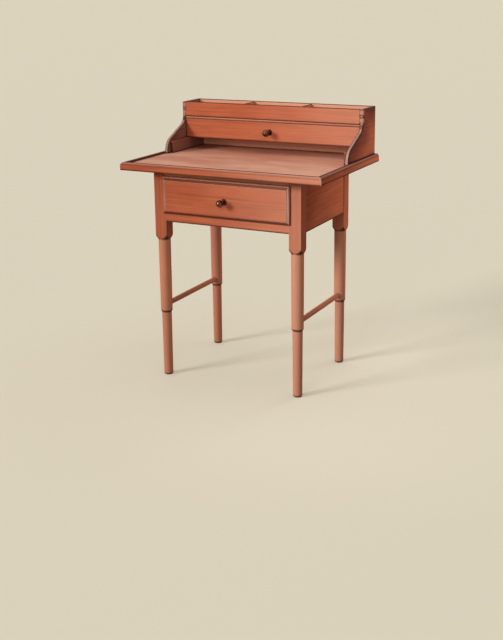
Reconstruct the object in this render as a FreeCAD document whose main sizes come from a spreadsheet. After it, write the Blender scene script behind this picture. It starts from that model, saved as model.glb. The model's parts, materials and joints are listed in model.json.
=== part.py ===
import FreeCAD, Part
import math
import os
import Sketcher
from FreeCAD import Placement, Rotation, Vector

# A small sewing desk in red-stained wood: a table on four turned legs with one lipped
# drawer, and a low gallery on its top that holds a shallow drawer and a divided tray.
# The frame has +X to the right, +Y to the back and +Z up, with the origin on the floor
# below the middle of the top. All lengths are millimetres.

doc = FreeCAD.newDocument("SewingDesk")

# The driving sizes.
SIZES = {
    # Top and rim
    "top_width": 660,
    "top_depth": 460,
    "surface_height": 680,
    "top_thickness": 18,
    "rim_width": 15,
    "rim_rise": 6,
    "rim_round": 7,
    "rim_ledge": 1.2,
    "rim_under_ease": 1.5,
    "rim_inner_ease": 0.8,
    # Legs
    "leg_square": 39,
    "side_overhang": 85,
    "front_overhang": 54,
    "back_overhang": 38,
    "square_below_apron": 57,
    "leg_shoulder_share": 0.723,
    "leg_turning_inset": 0.5,
    "leg_upper_taper": 0.8,
    "leg_step": 2.9,
    "leg_step_drop": 21,
    "leg_lower_taper": 1.1,
    "leg_foot_round": 6,
    "leg_arris": 0.8,
    # Aprons and rails
    "apron_height": 159.5,
    "apron_thickness": 18,
    "apron_setback": 1.5,
    "lower_rail_height": 27,
    "upper_rail_height": 23,
    "rail_thickness": 20,
    "rail_setback": 1,
    "tenon_thickness": 8,
    "tenon_air": 2.5,
    "apron_tenon_shoulder": 12,
    "rail_tenon_shoulder": 3,
    "apron_ease": 1.2,
    # Stretchers
    "stretcher_height": 232,
    "stretcher_diameter": 16.5,
    "stretcher_end_diameter": 13,
    "stretcher_taper": 60,
    "stretcher_tenon_length": 17,
    # Runners, guides and kickers
    "runner_height": 20,
    "runner_ledge": 16,
    "guide_height": 15,
    # Main drawer
    "drawer_gap": 1,
    "lip_side": 7,
    "lip_top": 6,
    "lip_thickness": 7,
    "lip_round": 5.5,
    "field_side_margin": 8.5,
    "field_top_margin": 11,
    "field_bottom_margin": 6,
    "field_rise": 1.3,
    "lip_air": 0.3,
    "front_inner_thickness": 14,
    "side_thickness": 10,
    "back_thickness": 10,
    "drawer_rear_air": 19,
    "panel_thickness": 6,
    "panel_height": 8,
    "groove_depth": 4,
    "blind_lap": 4,
    "tail_slope_share": 0.16,
    "back_drop": 4,
    "drawer_ease": 1,
    # Knobs
    "knob_drop": 5,
    "knob_base_diameter": 19,
    "knob_base_thickness": 2.4,
    "knob_collar_diameter": 14,
    "knob_neck_diameter": 10.4,
    "knob_neck_at": 11,
    "knob_ball_diameter": 22,
    "knob_ball_at": 26,
    "knob_screw_reach": 14,
    # Gallery
    "gallery_depth": 223,
    "gallery_top_depth": 104,
    "gallery_thickness": 11,
    "ogee_start_drop": 42,
    "ogee_hollow_radius": 33,
    "ogee_round_radius": 45,
    "ogee_round_height": 7,
    "gallery_ease": 1.4,
    "back_panel_thickness": 9,
    "rabbet_width": 6,
    "cleat_height": 38,
    "cleat_thickness": 10,
    "cleat_setback": 18,
    "cleat_round": 5,
    # Tray
    "tray_floor_thickness": 6.5,
    "tray_floor_setback": 1,
    "tray_housing": 4,
    "tray_front_height": 47.5,
    "tray_front_thickness": 10,
    "tray_ease": 1,
    "divider_thickness": 7,
    "divider_drop": 2,
    "divider_housing": 3,
    # Small drawer
    "small_opening_height": 62,
    "small_gap": 0.7,
    "small_front_thickness": 13,
    "small_side_thickness": 8,
    "small_back_thickness": 8,
    "small_panel_thickness": 5,
    "small_panel_height": 6,
    "small_groove_depth": 3,
    "small_blind_lap": 3,
    "small_back_air": 2,
    # Screws and nails
    "screw_diameter": 4,
    "screw_head_diameter": 8,
    "screw_head_height": 2.6,
    "screw_tip_height": 3,
    "kicker_screw_bite": 12,
    "gallery_screw_bite": 22,
    "nail_diameter": 1.8,
    "nail_head_diameter": 4,
    "nail_head_height": 0.8,
    "nail_tip_height": 2.5,
    "back_nail_bite": 20,
    "bottom_nail_bite": 16,
    # Cutting tools
    "overrun": 5,
}

sheet = doc.addObject("Spreadsheet::Sheet", "Sizes")


class Size:
    """A length, and the expression that keeps whatever uses it bound to the sheet."""

    def __init__(self, value, text):
        self.value = float(value)
        self.text = text

    def __add__(self, other):
        return combined(self, "+", other)

    def __radd__(self, other):
        return combined(other, "+", self)

    def __sub__(self, other):
        return combined(self, "-", other)

    def __rsub__(self, other):
        return combined(other, "-", self)

    def __mul__(self, other):
        return combined(self, "*", other)

    def __rmul__(self, other):
        return combined(other, "*", self)

    def __truediv__(self, other):
        return combined(self, "/", other)

    def __neg__(self):
        return combined(0, "-", self)


def as_size(number):
    """A plain number, such as a count or a half, in the form that sizes are combined in."""
    return number if isinstance(number, Size) else Size(number, "%.12g" % number)


def combined(left, sign, right):
    """The size that two sizes make."""
    left = as_size(left)
    right = as_size(right)
    values = {
        "+": left.value + right.value,
        "-": left.value - right.value,
        "*": left.value * right.value,
    }
    value = left.value / right.value if sign == "/" else values[sign]
    return Size(value, "(%s %s %s)" % (left.text, sign, right.text))


def root(size):
    """The square root of a product of two lengths."""
    return Size(math.sqrt(size.value), "sqrt(%s)" % size.text)


def fill_sheet():
    """Writes every driving size to the sheet, and returns them by name."""
    named = {}
    for row, (alias, number) in enumerate(SIZES.items(), 1):
        sheet.set("A%d" % row, alias.replace("_", " "))
        sheet.set("B%d" % row, "%.12g" % number)
        sheet.setAlias("B%d" % row, alias)
        named[alias] = Size(number, "Sizes.%s" % alias)
    doc.recompute()
    return named


S = fill_sheet()
pieces = []


def finished(item, label):
    """Names a piece of the desk and adds it to the list of separate pieces."""
    item.Label = label
    pieces.append(item)
    return item


def bind(item, name, size):
    """Sets one property from a size and keeps it bound."""
    item.setExpression(name, as_size(size).text)


def place(item, x, y, z, turn=Rotation()):
    """Stands an item at a point, which stays bound to the sheet."""
    item.Placement = Placement(Vector(as_size(x).value, as_size(y).value, as_size(z).value), turn)
    bind(item, "Placement.Base.x", x)
    bind(item, "Placement.Base.y", y)
    bind(item, "Placement.Base.z", z)
    return item


def box(label, low, high):
    """A plain block between two corners."""
    item = doc.addObject("Part::Box", label)
    bind(item, "Length", high[0] - low[0])
    bind(item, "Width", high[1] - low[1])
    bind(item, "Height", high[2] - low[2])
    return place(item, *low)


def joined(label, parts):
    """Overlapping parts as one solid."""
    item = doc.addObject("Part::MultiFuse", label)
    item.Shapes = parts
    item.Refine = True
    return item


def grouped(label, parts):
    """Separate solids that are kept together."""
    item = doc.addObject("Part::Compound", label)
    item.Links = parts
    return item


def cut(label, base, tools):
    """The base with its joints cut to the pieces that enter it."""
    item = doc.addObject("Part::Cut", label)
    item.Base = base
    item.Tool = tools[0] if len(tools) == 1 else grouped(label + "_entering", tools)
    item.Refine = True
    return item


def new_body(label):
    """A body to sketch in."""
    return doc.addObject("PartDesign::Body", label)


def sketch_on(body, role, label):
    """A sketch on one of the body's own origin planes."""
    plane = [part for part in body.Origin.OriginFeatures if part.Role == role][0]
    sketch = body.newObject("Sketcher::SketchObject", label)
    sketch.AttachmentSupport = (plane, [""])
    sketch.MapMode = "FlatFace"
    return sketch


def hold(sketch, kind, *where):
    """Adds a dimension to a sketch and binds it. The last argument is its size."""
    size = as_size(where[-1])
    number = sketch.addConstraint(Sketcher.Constraint(kind, *where[:-1], size.value))
    sketch.setExpression("Constraints[%d]" % number, size.text)


def outline(sketch, corners):
    """A closed outline. Each corner is (x, y), or (x, y, arc) where an arc leads to the next
    corner: arc is (centre x, centre y, radius, turns left)."""
    first = sketch.GeometryCount
    starts = []
    ends = []
    count = len(corners)
    for i, corner in enumerate(corners):
        after = corners[(i + 1) % count]
        here = Vector(as_size(corner[0]).value, as_size(corner[1]).value, 0)
        there = Vector(as_size(after[0]).value, as_size(after[1]).value, 0)
        if len(corner) == 2:
            sketch.addGeometry(Part.LineSegment(here, there), False)
            starts.append(1)
            ends.append(2)
            continue
        cx, cy, radius, left = corner[2]
        centre = Vector(as_size(cx).value, as_size(cy).value, 0)
        one, two = (here, there) if left else (there, here)
        angles = [math.atan2(p.y - centre.y, p.x - centre.x) for p in (one, two)]
        if angles[1] < angles[0]:
            angles[1] += 2 * math.pi
        circle = Part.Circle(centre, Vector(0, 0, 1), as_size(radius).value)
        sketch.addGeometry(Part.ArcOfCircle(circle, angles[0], angles[1]), False)
        starts.append(1 if left else 2)
        ends.append(2 if left else 1)
    for i in range(count):
        after = (i + 1) % count
        sketch.addConstraint(
            Sketcher.Constraint("Coincident", first + i, ends[i], first + after, starts[after])
        )
    for i, corner in enumerate(corners):
        hold(sketch, "DistanceX", -1, 1, first + i, starts[i], corner[0])
        hold(sketch, "DistanceY", -1, 1, first + i, starts[i], corner[1])
        if len(corner) == 3:
            hold(sketch, "Radius", first + i, corner[2][2])


def rectangle(sketch, low, high):
    """A rectangle between two corners."""
    outline(sketch, [low, (high[0], low[1]), high, (low[0], high[1])])


def pad(body, sketch, length, back=False):
    """Thickens a sketch, along its normal or back from it."""
    item = body.newObject("PartDesign::Pad", sketch.Name + "_pad")
    item.Profile = sketch
    item.Reversed = back
    bind(item, "Length", length)
    doc.recompute()
    return item


def ease(body, feature, radius, wanted):
    """Rounds the edges of a feature that the test wants, given each edge's middle point."""
    names = []
    for number, edge in enumerate(feature.Shape.Edges, 1):
        middle = edge.valueAt((edge.FirstParameter + edge.LastParameter) / 2)
        if wanted(middle, edge):
            names.append("Edge%d" % number)
    item = body.newObject("PartDesign::Fillet", feature.Name + "_ease")
    item.Base = (feature, names)
    bind(item, "Radius", radius)
    doc.recompute()
    return item


def near(one, two):
    """True where two numbers agree to four places."""
    return round(one - two, 4) == 0


def above(one, two):
    """True where the first number is clearly the larger."""
    return round(one - two, 4) > 0


def along(edge, direction):
    """True for a straight edge that runs along a direction."""
    if len(edge.Vertexes) < 2:
        return False
    run = edge.Vertexes[-1].Point - edge.Vertexes[0].Point
    return run.Length > 0 and near(abs(run.normalize().dot(direction)), 1)


X_WAY = Vector(1, 0, 0)
Y_WAY = Vector(0, 1, 0)
Z_WAY = Vector(0, 0, 1)


def board(label, low, high, radius=None, wanted=None):
    """A board between two corners, with its chosen long edges eased."""
    body = new_body(label)
    sketch = sketch_on(body, "XY_Plane", label + "_outline")
    rectangle(sketch, (as_size(0), as_size(0)), (high[0] - low[0], high[1] - low[1]))
    feature = pad(body, sketch, high[2] - low[2])
    if radius is not None:
        ease(body, feature, radius, wanted)
    return place(body, *low)


# The two sides of the desk, with the sign of X there.
SIDES = (("left", -1), ("right", 1))

# Places that several pieces share.
frame_top = S["surface_height"] - S["top_thickness"]
rail_bottom = frame_top - S["apron_height"]
leg_outer_x = S["top_width"] / 2 - S["side_overhang"]
leg_inner_x = leg_outer_x - S["leg_square"]
leg_axis_x = leg_outer_x - S["leg_square"] / 2
front_leg_face = S["front_overhang"] - S["top_depth"] / 2
front_leg_rear = front_leg_face + S["leg_square"]
back_leg_face = S["top_depth"] / 2 - S["back_overhang"]
back_leg_front = back_leg_face - S["leg_square"]
front_axis_y = front_leg_face + S["leg_square"] / 2
back_axis_y = back_leg_face - S["leg_square"] / 2
apron_outer_x = leg_outer_x - S["apron_setback"]
apron_inner_x = apron_outer_x - S["apron_thickness"]
back_apron_outer = back_leg_face - S["apron_setback"]
back_apron_inner = back_apron_outer - S["apron_thickness"]
rail_face = front_leg_face + S["rail_setback"]
rail_rear = rail_face + S["rail_thickness"]
opening_bottom = rail_bottom + S["lower_rail_height"]
opening_top = frame_top - S["upper_rail_height"]
gallery_outer_x = S["top_width"] / 2 - S["rim_width"]
gallery_inner_x = gallery_outer_x - S["gallery_thickness"]
gallery_rear = S["top_depth"] / 2
gallery_face = gallery_rear - S["gallery_top_depth"]
back_panel_face = gallery_rear - S["back_panel_thickness"]
small_drawer_bottom = S["surface_height"] + S["cleat_height"]
tray_floor_bottom = small_drawer_bottom + S["small_opening_height"]
tray_floor_top = tray_floor_bottom + S["tray_floor_thickness"]
gallery_top = tray_floor_top + S["tray_front_height"]
gallery_height = gallery_top - S["surface_height"]
tongue_inset = (S["apron_thickness"] - S["tenon_thickness"]) / 2
tenon_length = S["leg_square"] - S["apron_setback"] - tongue_inset - S["tenon_thickness"] - S["tenon_air"]
leg_upper_radius = S["leg_square"] / 2 - S["leg_turning_inset"]
leg_waist_radius = leg_upper_radius - S["leg_upper_taper"]
leg_lower_radius = leg_waist_radius - S["leg_step"]
leg_foot_radius = leg_lower_radius - S["leg_lower_taper"]


def tenoned(label, low, high, way, shoulder, tenon_face):
    """A rail or apron between two legs. Its board has a thinner tongue that runs on into
    both legs; way is 0 where it runs along X and 1 along Y, and tenon_face is where the
    tongue starts across the board's thickness."""
    across = 1 - way
    tongue_low = list(low)
    tongue_high = list(high)
    tongue_low[way] = low[way] - tenon_length
    tongue_high[way] = high[way] + tenon_length
    tongue_low[across] = tenon_face
    tongue_high[across] = tenon_face + S["tenon_thickness"]
    tongue_low[2] = low[2] + shoulder
    tongue_high[2] = high[2] - shoulder
    run = X_WAY if way == 0 else Y_WAY
    stock = board(
        label + "_board",
        low,
        high,
        S["apron_ease"],
        lambda middle, edge: near(middle.z, 0) and along(edge, run),
    )
    return finished(joined(label, [stock, box(label + "_tongue", tongue_low, tongue_high)]), label)


def make_aprons():
    """The two side aprons, the back apron and the two rails that frame the drawer."""
    made = {}
    for side, low_x, high_x in (
        ("left", -apron_outer_x, -apron_inner_x),
        ("right", apron_inner_x, apron_outer_x),
    ):
        made[side] = tenoned(
            "apron_" + side,
            [low_x, front_leg_rear, rail_bottom],
            [high_x, back_leg_front, frame_top],
            1,
            S["apron_tenon_shoulder"],
            low_x + tongue_inset,
        )
    made["back"] = tenoned(
        "apron_back",
        [-leg_inner_x, back_apron_inner, rail_bottom],
        [leg_inner_x, back_apron_outer, frame_top],
        0,
        S["apron_tenon_shoulder"],
        back_apron_inner + tongue_inset,
    )
    rail_tongue = rail_face + (S["rail_thickness"] - S["tenon_thickness"]) / 2
    for label, low, high in (
        ("lower_front_rail", rail_bottom, opening_bottom),
        ("upper_front_rail", opening_top, frame_top),
    ):
        made[label] = tenoned(
            label,
            [-leg_inner_x, rail_face, low],
            [leg_inner_x, rail_rear, high],
            0,
            S["rail_tenon_shoulder"],
            rail_tongue,
        )
    return made


def make_stretchers():
    """One round bar on each side, from the front leg to the back leg, swelled in the middle."""
    made = {}
    bore_start = front_axis_y + leg_waist_radius - S["stretcher_tenon_length"]
    bore_end = back_axis_y - leg_waist_radius + S["stretcher_tenon_length"]
    length = bore_end - bore_start
    end = S["stretcher_end_diameter"] / 2
    middle = S["stretcher_diameter"] / 2
    for side, x in (("left", -leg_axis_x), ("right", leg_axis_x)):
        body = new_body("stretcher_" + side)
        sketch = sketch_on(body, "YZ_Plane", "stretcher_%s_half" % side)
        outline(sketch, [
            (0, 0),
            (length, 0),
            (length, end),
            (length - S["stretcher_taper"], middle),
            (S["stretcher_taper"], middle),
            (0, end),
        ])
        turned = body.newObject("PartDesign::Revolution", "stretcher_%s_turned" % side)
        turned.Profile = sketch
        turned.ReferenceAxis = (sketch, ["H_Axis"])
        turned.Angle = 360
        place(body, x, bore_start, S["stretcher_height"])
        made[side] = finished(body, "stretcher_" + side)
    return made


def leg_blank(label, x, y):
    """A square post turned round below its shoulder. A ball-shaped shoulder leaves each flat
    ending in a half circle; below it the round steps down at the stretcher, then tapers."""
    half = S["leg_square"] / 2
    body = new_body(label + "_turned")
    square = sketch_on(body, "XY_Plane", label + "_square")
    rectangle(square, (-half, -half), (half, half))
    post = pad(body, square, frame_top)
    ease(body, post, S["leg_arris"], lambda middle, edge: along(edge, Z_WAY))
    ball = S["leg_square"] * S["leg_shoulder_share"]
    flat_arc = root(ball * ball - half * half)
    ball_height = rail_bottom - S["square_below_apron"] + flat_arc
    crease = ball_height - root(ball * ball - leg_upper_radius * leg_upper_radius)
    step = S["leg_step"]
    step_bottom = S["stretcher_height"] - S["leg_step_drop"]
    clear = ball + S["overrun"]
    round_end = S["leg_foot_round"]
    pad_radius = leg_foot_radius - round_end
    profile = sketch_on(body, "XZ_Plane", label + "_profile")
    outline(profile, [
        (pad_radius, 0, (pad_radius, round_end, round_end, True)),
        (leg_foot_radius, round_end),
        (leg_lower_radius, step_bottom, (leg_lower_radius, step_bottom + step, step, True)),
        (leg_waist_radius, step_bottom + step),
        (leg_upper_radius, crease, (0, ball_height, ball, True)),
        (ball, ball_height),
        (clear, ball_height),
        (clear, -S["overrun"]),
        (pad_radius, -S["overrun"]),
    ])
    turned = body.newObject("PartDesign::Groove", label + "_turning")
    turned.Profile = profile
    turned.ReferenceAxis = (profile, ["V_Axis"])
    turned.Angle = 360
    doc.recompute()
    if turned.Shape.Volume >= post.Shape.Volume:
        raise RuntimeError("%s was not turned round" % label)
    return place(body, x, y, 0)


def make_legs(aprons, stretchers):
    """The four legs, mortised for the aprons and rails and bored for the stretchers."""
    rails = [aprons["lower_front_rail"], aprons["upper_front_rail"]]
    for end, y in (("front", front_axis_y), ("back", back_axis_y)):
        for side, x in (("left", -leg_axis_x), ("right", leg_axis_x)):
            label = "leg_%s_%s" % (end, side)
            entering = [aprons[side], stretchers[side]]
            entering += rails if end == "front" else [aprons["back"]]
            finished(cut(label, leg_blank(label, x, y), entering), label)


def fastener(label, half, x, y, z, turn):
    """A turned pin, drawn as half its section, head down and point up unless turned."""
    body = new_body(label)
    sketch = sketch_on(body, "XZ_Plane", label + "_half")
    outline(sketch, half)
    turned = body.newObject("PartDesign::Revolution", label + "_turned")
    turned.Profile = sketch
    turned.ReferenceAxis = (sketch, ["V_Axis"])
    turned.Angle = 360
    return place(body, x, y, z, turn)


def screw(label, x, y, z, length, turn=Rotation()):
    """A countersunk wood screw."""
    shank = S["screw_diameter"] / 2
    return fastener(label, [
        (0, 0),
        (S["screw_head_diameter"] / 2, 0),
        (shank, S["screw_head_height"]),
        (shank, length - S["screw_tip_height"]),
        (0, length),
    ], x, y, z, turn)


def nail(label, x, y, z, length, turn=Rotation()):
    """A flat-headed nail."""
    shank = S["nail_diameter"] / 2
    head = S["nail_head_diameter"] / 2
    return fastener(label, [
        (0, 0),
        (head, 0),
        (head, S["nail_head_height"]),
        (shank, S["nail_head_height"]),
        (shank, length - S["nail_tip_height"]),
        (0, length),
    ], x, y, z, turn)


def make_drawer_carriers():
    """Runners under the drawer sides, guides beside them, and kickers above them. Each runner
    and kicker is notched round the legs. The kickers take the screws that hold the top."""
    ledge = leg_inner_x - S["runner_ledge"]
    strip = apron_inner_x - ledge
    ear = leg_inner_x - ledge
    length = back_apron_inner - rail_rear
    front_notch = front_leg_rear - rail_rear
    back_notch = length - (back_apron_inner - back_leg_front)
    kicker_screws = []
    for side, sign in SIDES:
        for name, low, height in (
            ("runner", opening_bottom - S["runner_height"], S["runner_height"]),
            ("kicker", opening_top, S["upper_rail_height"]),
        ):
            label = "%s_%s" % (name, side)
            body = new_body(label + "_strip")
            sketch = sketch_on(body, "XY_Plane", label + "_outline")
            outline(sketch, [
                (0, 0),
                (sign * ear, 0),
                (sign * ear, front_notch),
                (sign * strip, front_notch),
                (sign * strip, back_notch),
                (sign * ear, back_notch),
                (sign * ear, length),
                (0, length),
            ])
            pad(body, sketch, height)
            place(body, sign * ledge, rail_rear, low)
            if name == "runner":
                finished(body, label)
                continue
            screws = []
            for number, share in enumerate(SCREW_SHARES):
                screws.append(screw(
                    "kicker_screw_%s_%d" % (side, number),
                    sign * (ledge + ear / 2),
                    rail_rear + length * share,
                    low,
                    height + S["kicker_screw_bite"],
                ))
            kicker_screws += screws
            finished(cut(label, body, screws), label)
        guide = box(
            "guide_" + side,
            [leg_inner_x if sign > 0 else -apron_inner_x, front_leg_rear, opening_bottom],
            [apron_inner_x if sign > 0 else -leg_inner_x, back_leg_front, opening_bottom + S["guide_height"]],
        )
        finished(guide, "guide_" + side)
    finished(grouped("top_screws", kicker_screws), "top_screws")
    return kicker_screws


# Where screws and nails stand along what they hold.
SCREW_SHARES = (0.12, 0.5, 0.88)
GALLERY_SCREW_SHARES = (0.2, 0.8)
BACK_NAIL_SHARES = (0.12, 0.5, 0.8)
FLOOR_NAIL_SHARES = (-0.72, -0.24, 0.24, 0.72)
BOTTOM_NAIL_SHARES = (-0.8, 0, 0.8)


def rim_profile(sketch, sign):
    """The rim's section: an upright face, a small ledge and a quarter round above it."""
    height = S["top_thickness"] + S["rim_rise"]
    outer = S["rim_width"]
    shelf = height - S["rim_round"]
    crest = outer - S["rim_ledge"] - S["rim_round"]
    under = S["rim_under_ease"]
    inner = S["rim_inner_ease"]
    left = sign > 0
    outline(sketch, [
        (0, 0),
        (sign * (outer - under), 0, (sign * (outer - under), under, under, left)),
        (sign * outer, under),
        (sign * outer, shelf),
        (sign * (outer - S["rim_ledge"]), shelf, (sign * crest, shelf, S["rim_round"], left)),
        (sign * crest, height),
        (sign * inner, height, (sign * inner, height - inner, inner, left)),
        (0, height - inner),
    ])


def rim_length(label, plane, sign, length, back):
    """A straight length of rim moulding."""
    body = new_body(label + "_length")
    sketch = sketch_on(body, plane, label + "_section")
    rim_profile(sketch, sign)
    pad(body, sketch, length, back)
    return body


def mitre_block(label, sign, behind):
    """A block on one side of a front corner's mitre, behind it or in front, that trims a rim
    to meet the next one on the corner's diagonal."""
    reach = S["rim_width"] + S["overrun"]
    third = (sign * S["overrun"], reach) if behind else (-sign * reach, -S["overrun"])
    body = new_body(label)
    sketch = sketch_on(body, "XY_Plane", label + "_outline")
    outline(sketch, [
        (-sign * reach, reach),
        (sign * S["overrun"], -S["overrun"]),
        third,
    ])
    pad(body, sketch, S["top_thickness"] + S["rim_rise"] + 2 * S["overrun"])
    return place(
        body,
        sign * S["top_width"] / 2,
        -S["top_depth"] / 2,
        frame_top - S["overrun"],
    )


def make_rims():
    """The moulded rim round the front and both ends of the top, mitred at the front."""
    front = rim_length("rim_front", "YZ_Plane", -1, S["top_width"], False)
    place(front, -S["top_width"] / 2, S["rim_width"] - S["top_depth"] / 2, frame_top)
    blocks = [mitre_block("front_mitre_" + side, sign, True) for side, sign in SIDES]
    finished(cut("rim_front", front, blocks), "rim_front")
    for side, sign in SIDES:
        label = "rim_" + side
        length = rim_length(label, "XZ_Plane", sign, S["top_depth"], True)
        place(length, sign * gallery_outer_x, -S["top_depth"] / 2, frame_top)
        finished(cut(label, length, [mitre_block(label + "_mitre", sign, False)]), label)


def make_top(screws):
    """The top board, held by the kicker screws and pierced by those of the gallery."""
    stock = board(
        "top_stock",
        [-gallery_outer_x, S["rim_width"] - S["top_depth"] / 2, frame_top],
        [gallery_outer_x, S["top_depth"] / 2, S["surface_height"]],
    )
    finished(cut("top_board", stock, screws), "top_board")


def ogee_side(label, sign):
    """A gallery side: upright behind the tray, then a hollow, a slope and a round down to the
    table. It is drawn from its front foot and thickened inwards."""
    upright = S["gallery_depth"] - S["gallery_top_depth"]
    start = gallery_height - S["ogee_start_drop"]
    hollow = (upright - S["ogee_hollow_radius"], start)
    swell = (S["ogee_round_radius"], S["ogee_round_height"])
    gap = Vector((swell[0] - hollow[0]).value, (swell[1] - hollow[1]).value, 0)
    reach = S["ogee_hollow_radius"].value + S["ogee_round_radius"].value
    turn = math.atan2(gap.y, gap.x) + math.acos(reach / gap.Length)
    leaving = Vector(
        hollow[0].value + S["ogee_hollow_radius"].value * math.cos(turn),
        hollow[1].value + S["ogee_hollow_radius"].value * math.sin(turn),
        0,
    )
    meeting = Vector(
        swell[0].value - S["ogee_round_radius"].value * math.cos(turn),
        swell[1].value - S["ogee_round_radius"].value * math.sin(turn),
        0,
    )
    depth = S["gallery_depth"]
    height = gallery_height
    body = new_body(label + "_shaped")
    sketch = sketch_on(body, "YZ_Plane", label + "_outline")
    corners = [
        Vector(0, 0, 0),
        Vector(depth.value, 0, 0),
        Vector(depth.value, height.value, 0),
        Vector(upright.value, height.value, 0),
        Vector(upright.value, start.value, 0),
    ]
    for one, two in zip(corners, corners[1:]):
        sketch.addGeometry(Part.LineSegment(one, two), False)
    circle = Part.Circle(
        Vector(hollow[0].value, hollow[1].value, 0), Z_WAY, S["ogee_hollow_radius"].value
    )
    sketch.addGeometry(Part.ArcOfCircle(circle, turn, 0), False)
    sketch.addGeometry(Part.LineSegment(leaving, meeting), False)
    circle = Part.Circle(
        Vector(swell[0].value, swell[1].value, 0), Z_WAY, S["ogee_round_radius"].value
    )
    sketch.addGeometry(Part.ArcOfCircle(circle, turn + math.pi, math.pi), False)
    foot_top = Vector(0, S["ogee_round_height"].value, 0)
    sketch.addGeometry(Part.LineSegment(foot_top, corners[0]), False)
    for one, two in ((0, 1), (1, 2), (2, 3)):
        sketch.addConstraint(Sketcher.Constraint("Coincident", one, 2, two, 1))
    sketch.addConstraint(Sketcher.Constraint("Coincident", 7, 2, 0, 1))
    sketch.addConstraint(Sketcher.Constraint("Tangent", 3, 2, 4, 2))
    sketch.addConstraint(Sketcher.Constraint("Tangent", 4, 1, 5, 1))
    sketch.addConstraint(Sketcher.Constraint("Tangent", 5, 2, 6, 1))
    sketch.addConstraint(Sketcher.Constraint("Tangent", 6, 2, 7, 1))
    sketch.addConstraint(Sketcher.Constraint("Coincident", 0, 1, -1, 1))
    for line in (0, 2):
        sketch.addConstraint(Sketcher.Constraint("Horizontal", line))
    for line in (1, 3, 7):
        sketch.addConstraint(Sketcher.Constraint("Vertical", line))
    hold(sketch, "DistanceX", 0, 1, 0, 2, depth)
    hold(sketch, "DistanceY", 1, 1, 1, 2, height)
    hold(sketch, "DistanceX", 2, 2, 2, 1, S["gallery_top_depth"])
    hold(sketch, "DistanceY", -1, 1, 4, 2, start)
    hold(sketch, "DistanceY", -1, 1, 7, 1, S["ogee_round_height"])
    hold(sketch, "Radius", 4, S["ogee_hollow_radius"])
    hold(sketch, "Radius", 6, S["ogee_round_radius"])
    shaped = pad(body, sketch, S["gallery_thickness"], sign > 0)
    low_point = S["ogee_round_height"].value / 2

    def eased(middle, edge):
        in_front = not above(middle.y, upright.value) and not above(low_point, middle.z)
        on_top = near(middle.z, height.value) and not near(middle.y, depth.value)
        return (in_front or on_top) and not along(edge, X_WAY)

    ease(body, shaped, S["gallery_ease"], eased)
    return place(body, sign * gallery_outer_x, gallery_rear - depth, S["surface_height"])


def tail_corners(base, tip, low, high, count, flare):
    """Corners of a row of dovetails that stand from base to tip, between two heights. A half
    socket lies at each end of the row, and one between each tail and the next."""
    pitch = (high - low) / count
    neck = pitch * TAIL_NECK_SHARE
    corners = []
    for number in range(count):
        middle = low + pitch * (number + 0.5)
        corners += [
            (base, middle - neck / 2),
            (tip, middle - neck / 2 - flare),
            (tip, middle + neck / 2 + flare),
            (base, middle + neck / 2),
        ]
    return corners


# The width of a tail at its root, as a share of the distance from tail to tail.
TAIL_NECK_SHARE = 0.6


def make_tray_front():
    """The board in front of the tray, with through dovetails into the gallery sides that show
    from the front."""
    body = new_body("tray_front_body")
    sketch = sketch_on(body, "XZ_Plane", "tray_front_outline")
    height = gallery_top - tray_floor_top
    flare = S["gallery_thickness"] * S["tail_slope_share"]
    right = tail_corners(gallery_inner_x, gallery_outer_x, as_size(0), height, 2, flare)
    left = [(-x, z) for x, z in reversed(right)]
    outline(
        sketch,
        [(-gallery_inner_x, 0), (gallery_inner_x, 0)]
        + right
        + [(gallery_inner_x, height), (-gallery_inner_x, height)]
        + left,
    )
    pad(body, sketch, S["tray_front_thickness"], True)
    return place(body, 0, gallery_face, tray_floor_top)


def make_back_nails():
    """Nails through the gallery's back, into both sides and into the tray floor's rear edge."""
    side_x = gallery_inner_x + S["rabbet_width"] / 2
    spots = [
        (sign * side_x, S["surface_height"] + gallery_height * share)
        for side, sign in SIDES
        for share in BACK_NAIL_SHARES
    ]
    floor_middle = (tray_floor_bottom + tray_floor_top) / 2
    spots += [(gallery_inner_x * share, floor_middle) for share in FLOOR_NAIL_SHARES]
    length = S["back_panel_thickness"] + S["back_nail_bite"]
    nails = [
        nail("back_nail_%d" % number, x, gallery_rear, z, length, Rotation(X_WAY, 90))
        for number, (x, z) in enumerate(spots)
    ]
    finished(grouped("back_nails", nails), "back_nails")
    return nails


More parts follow.
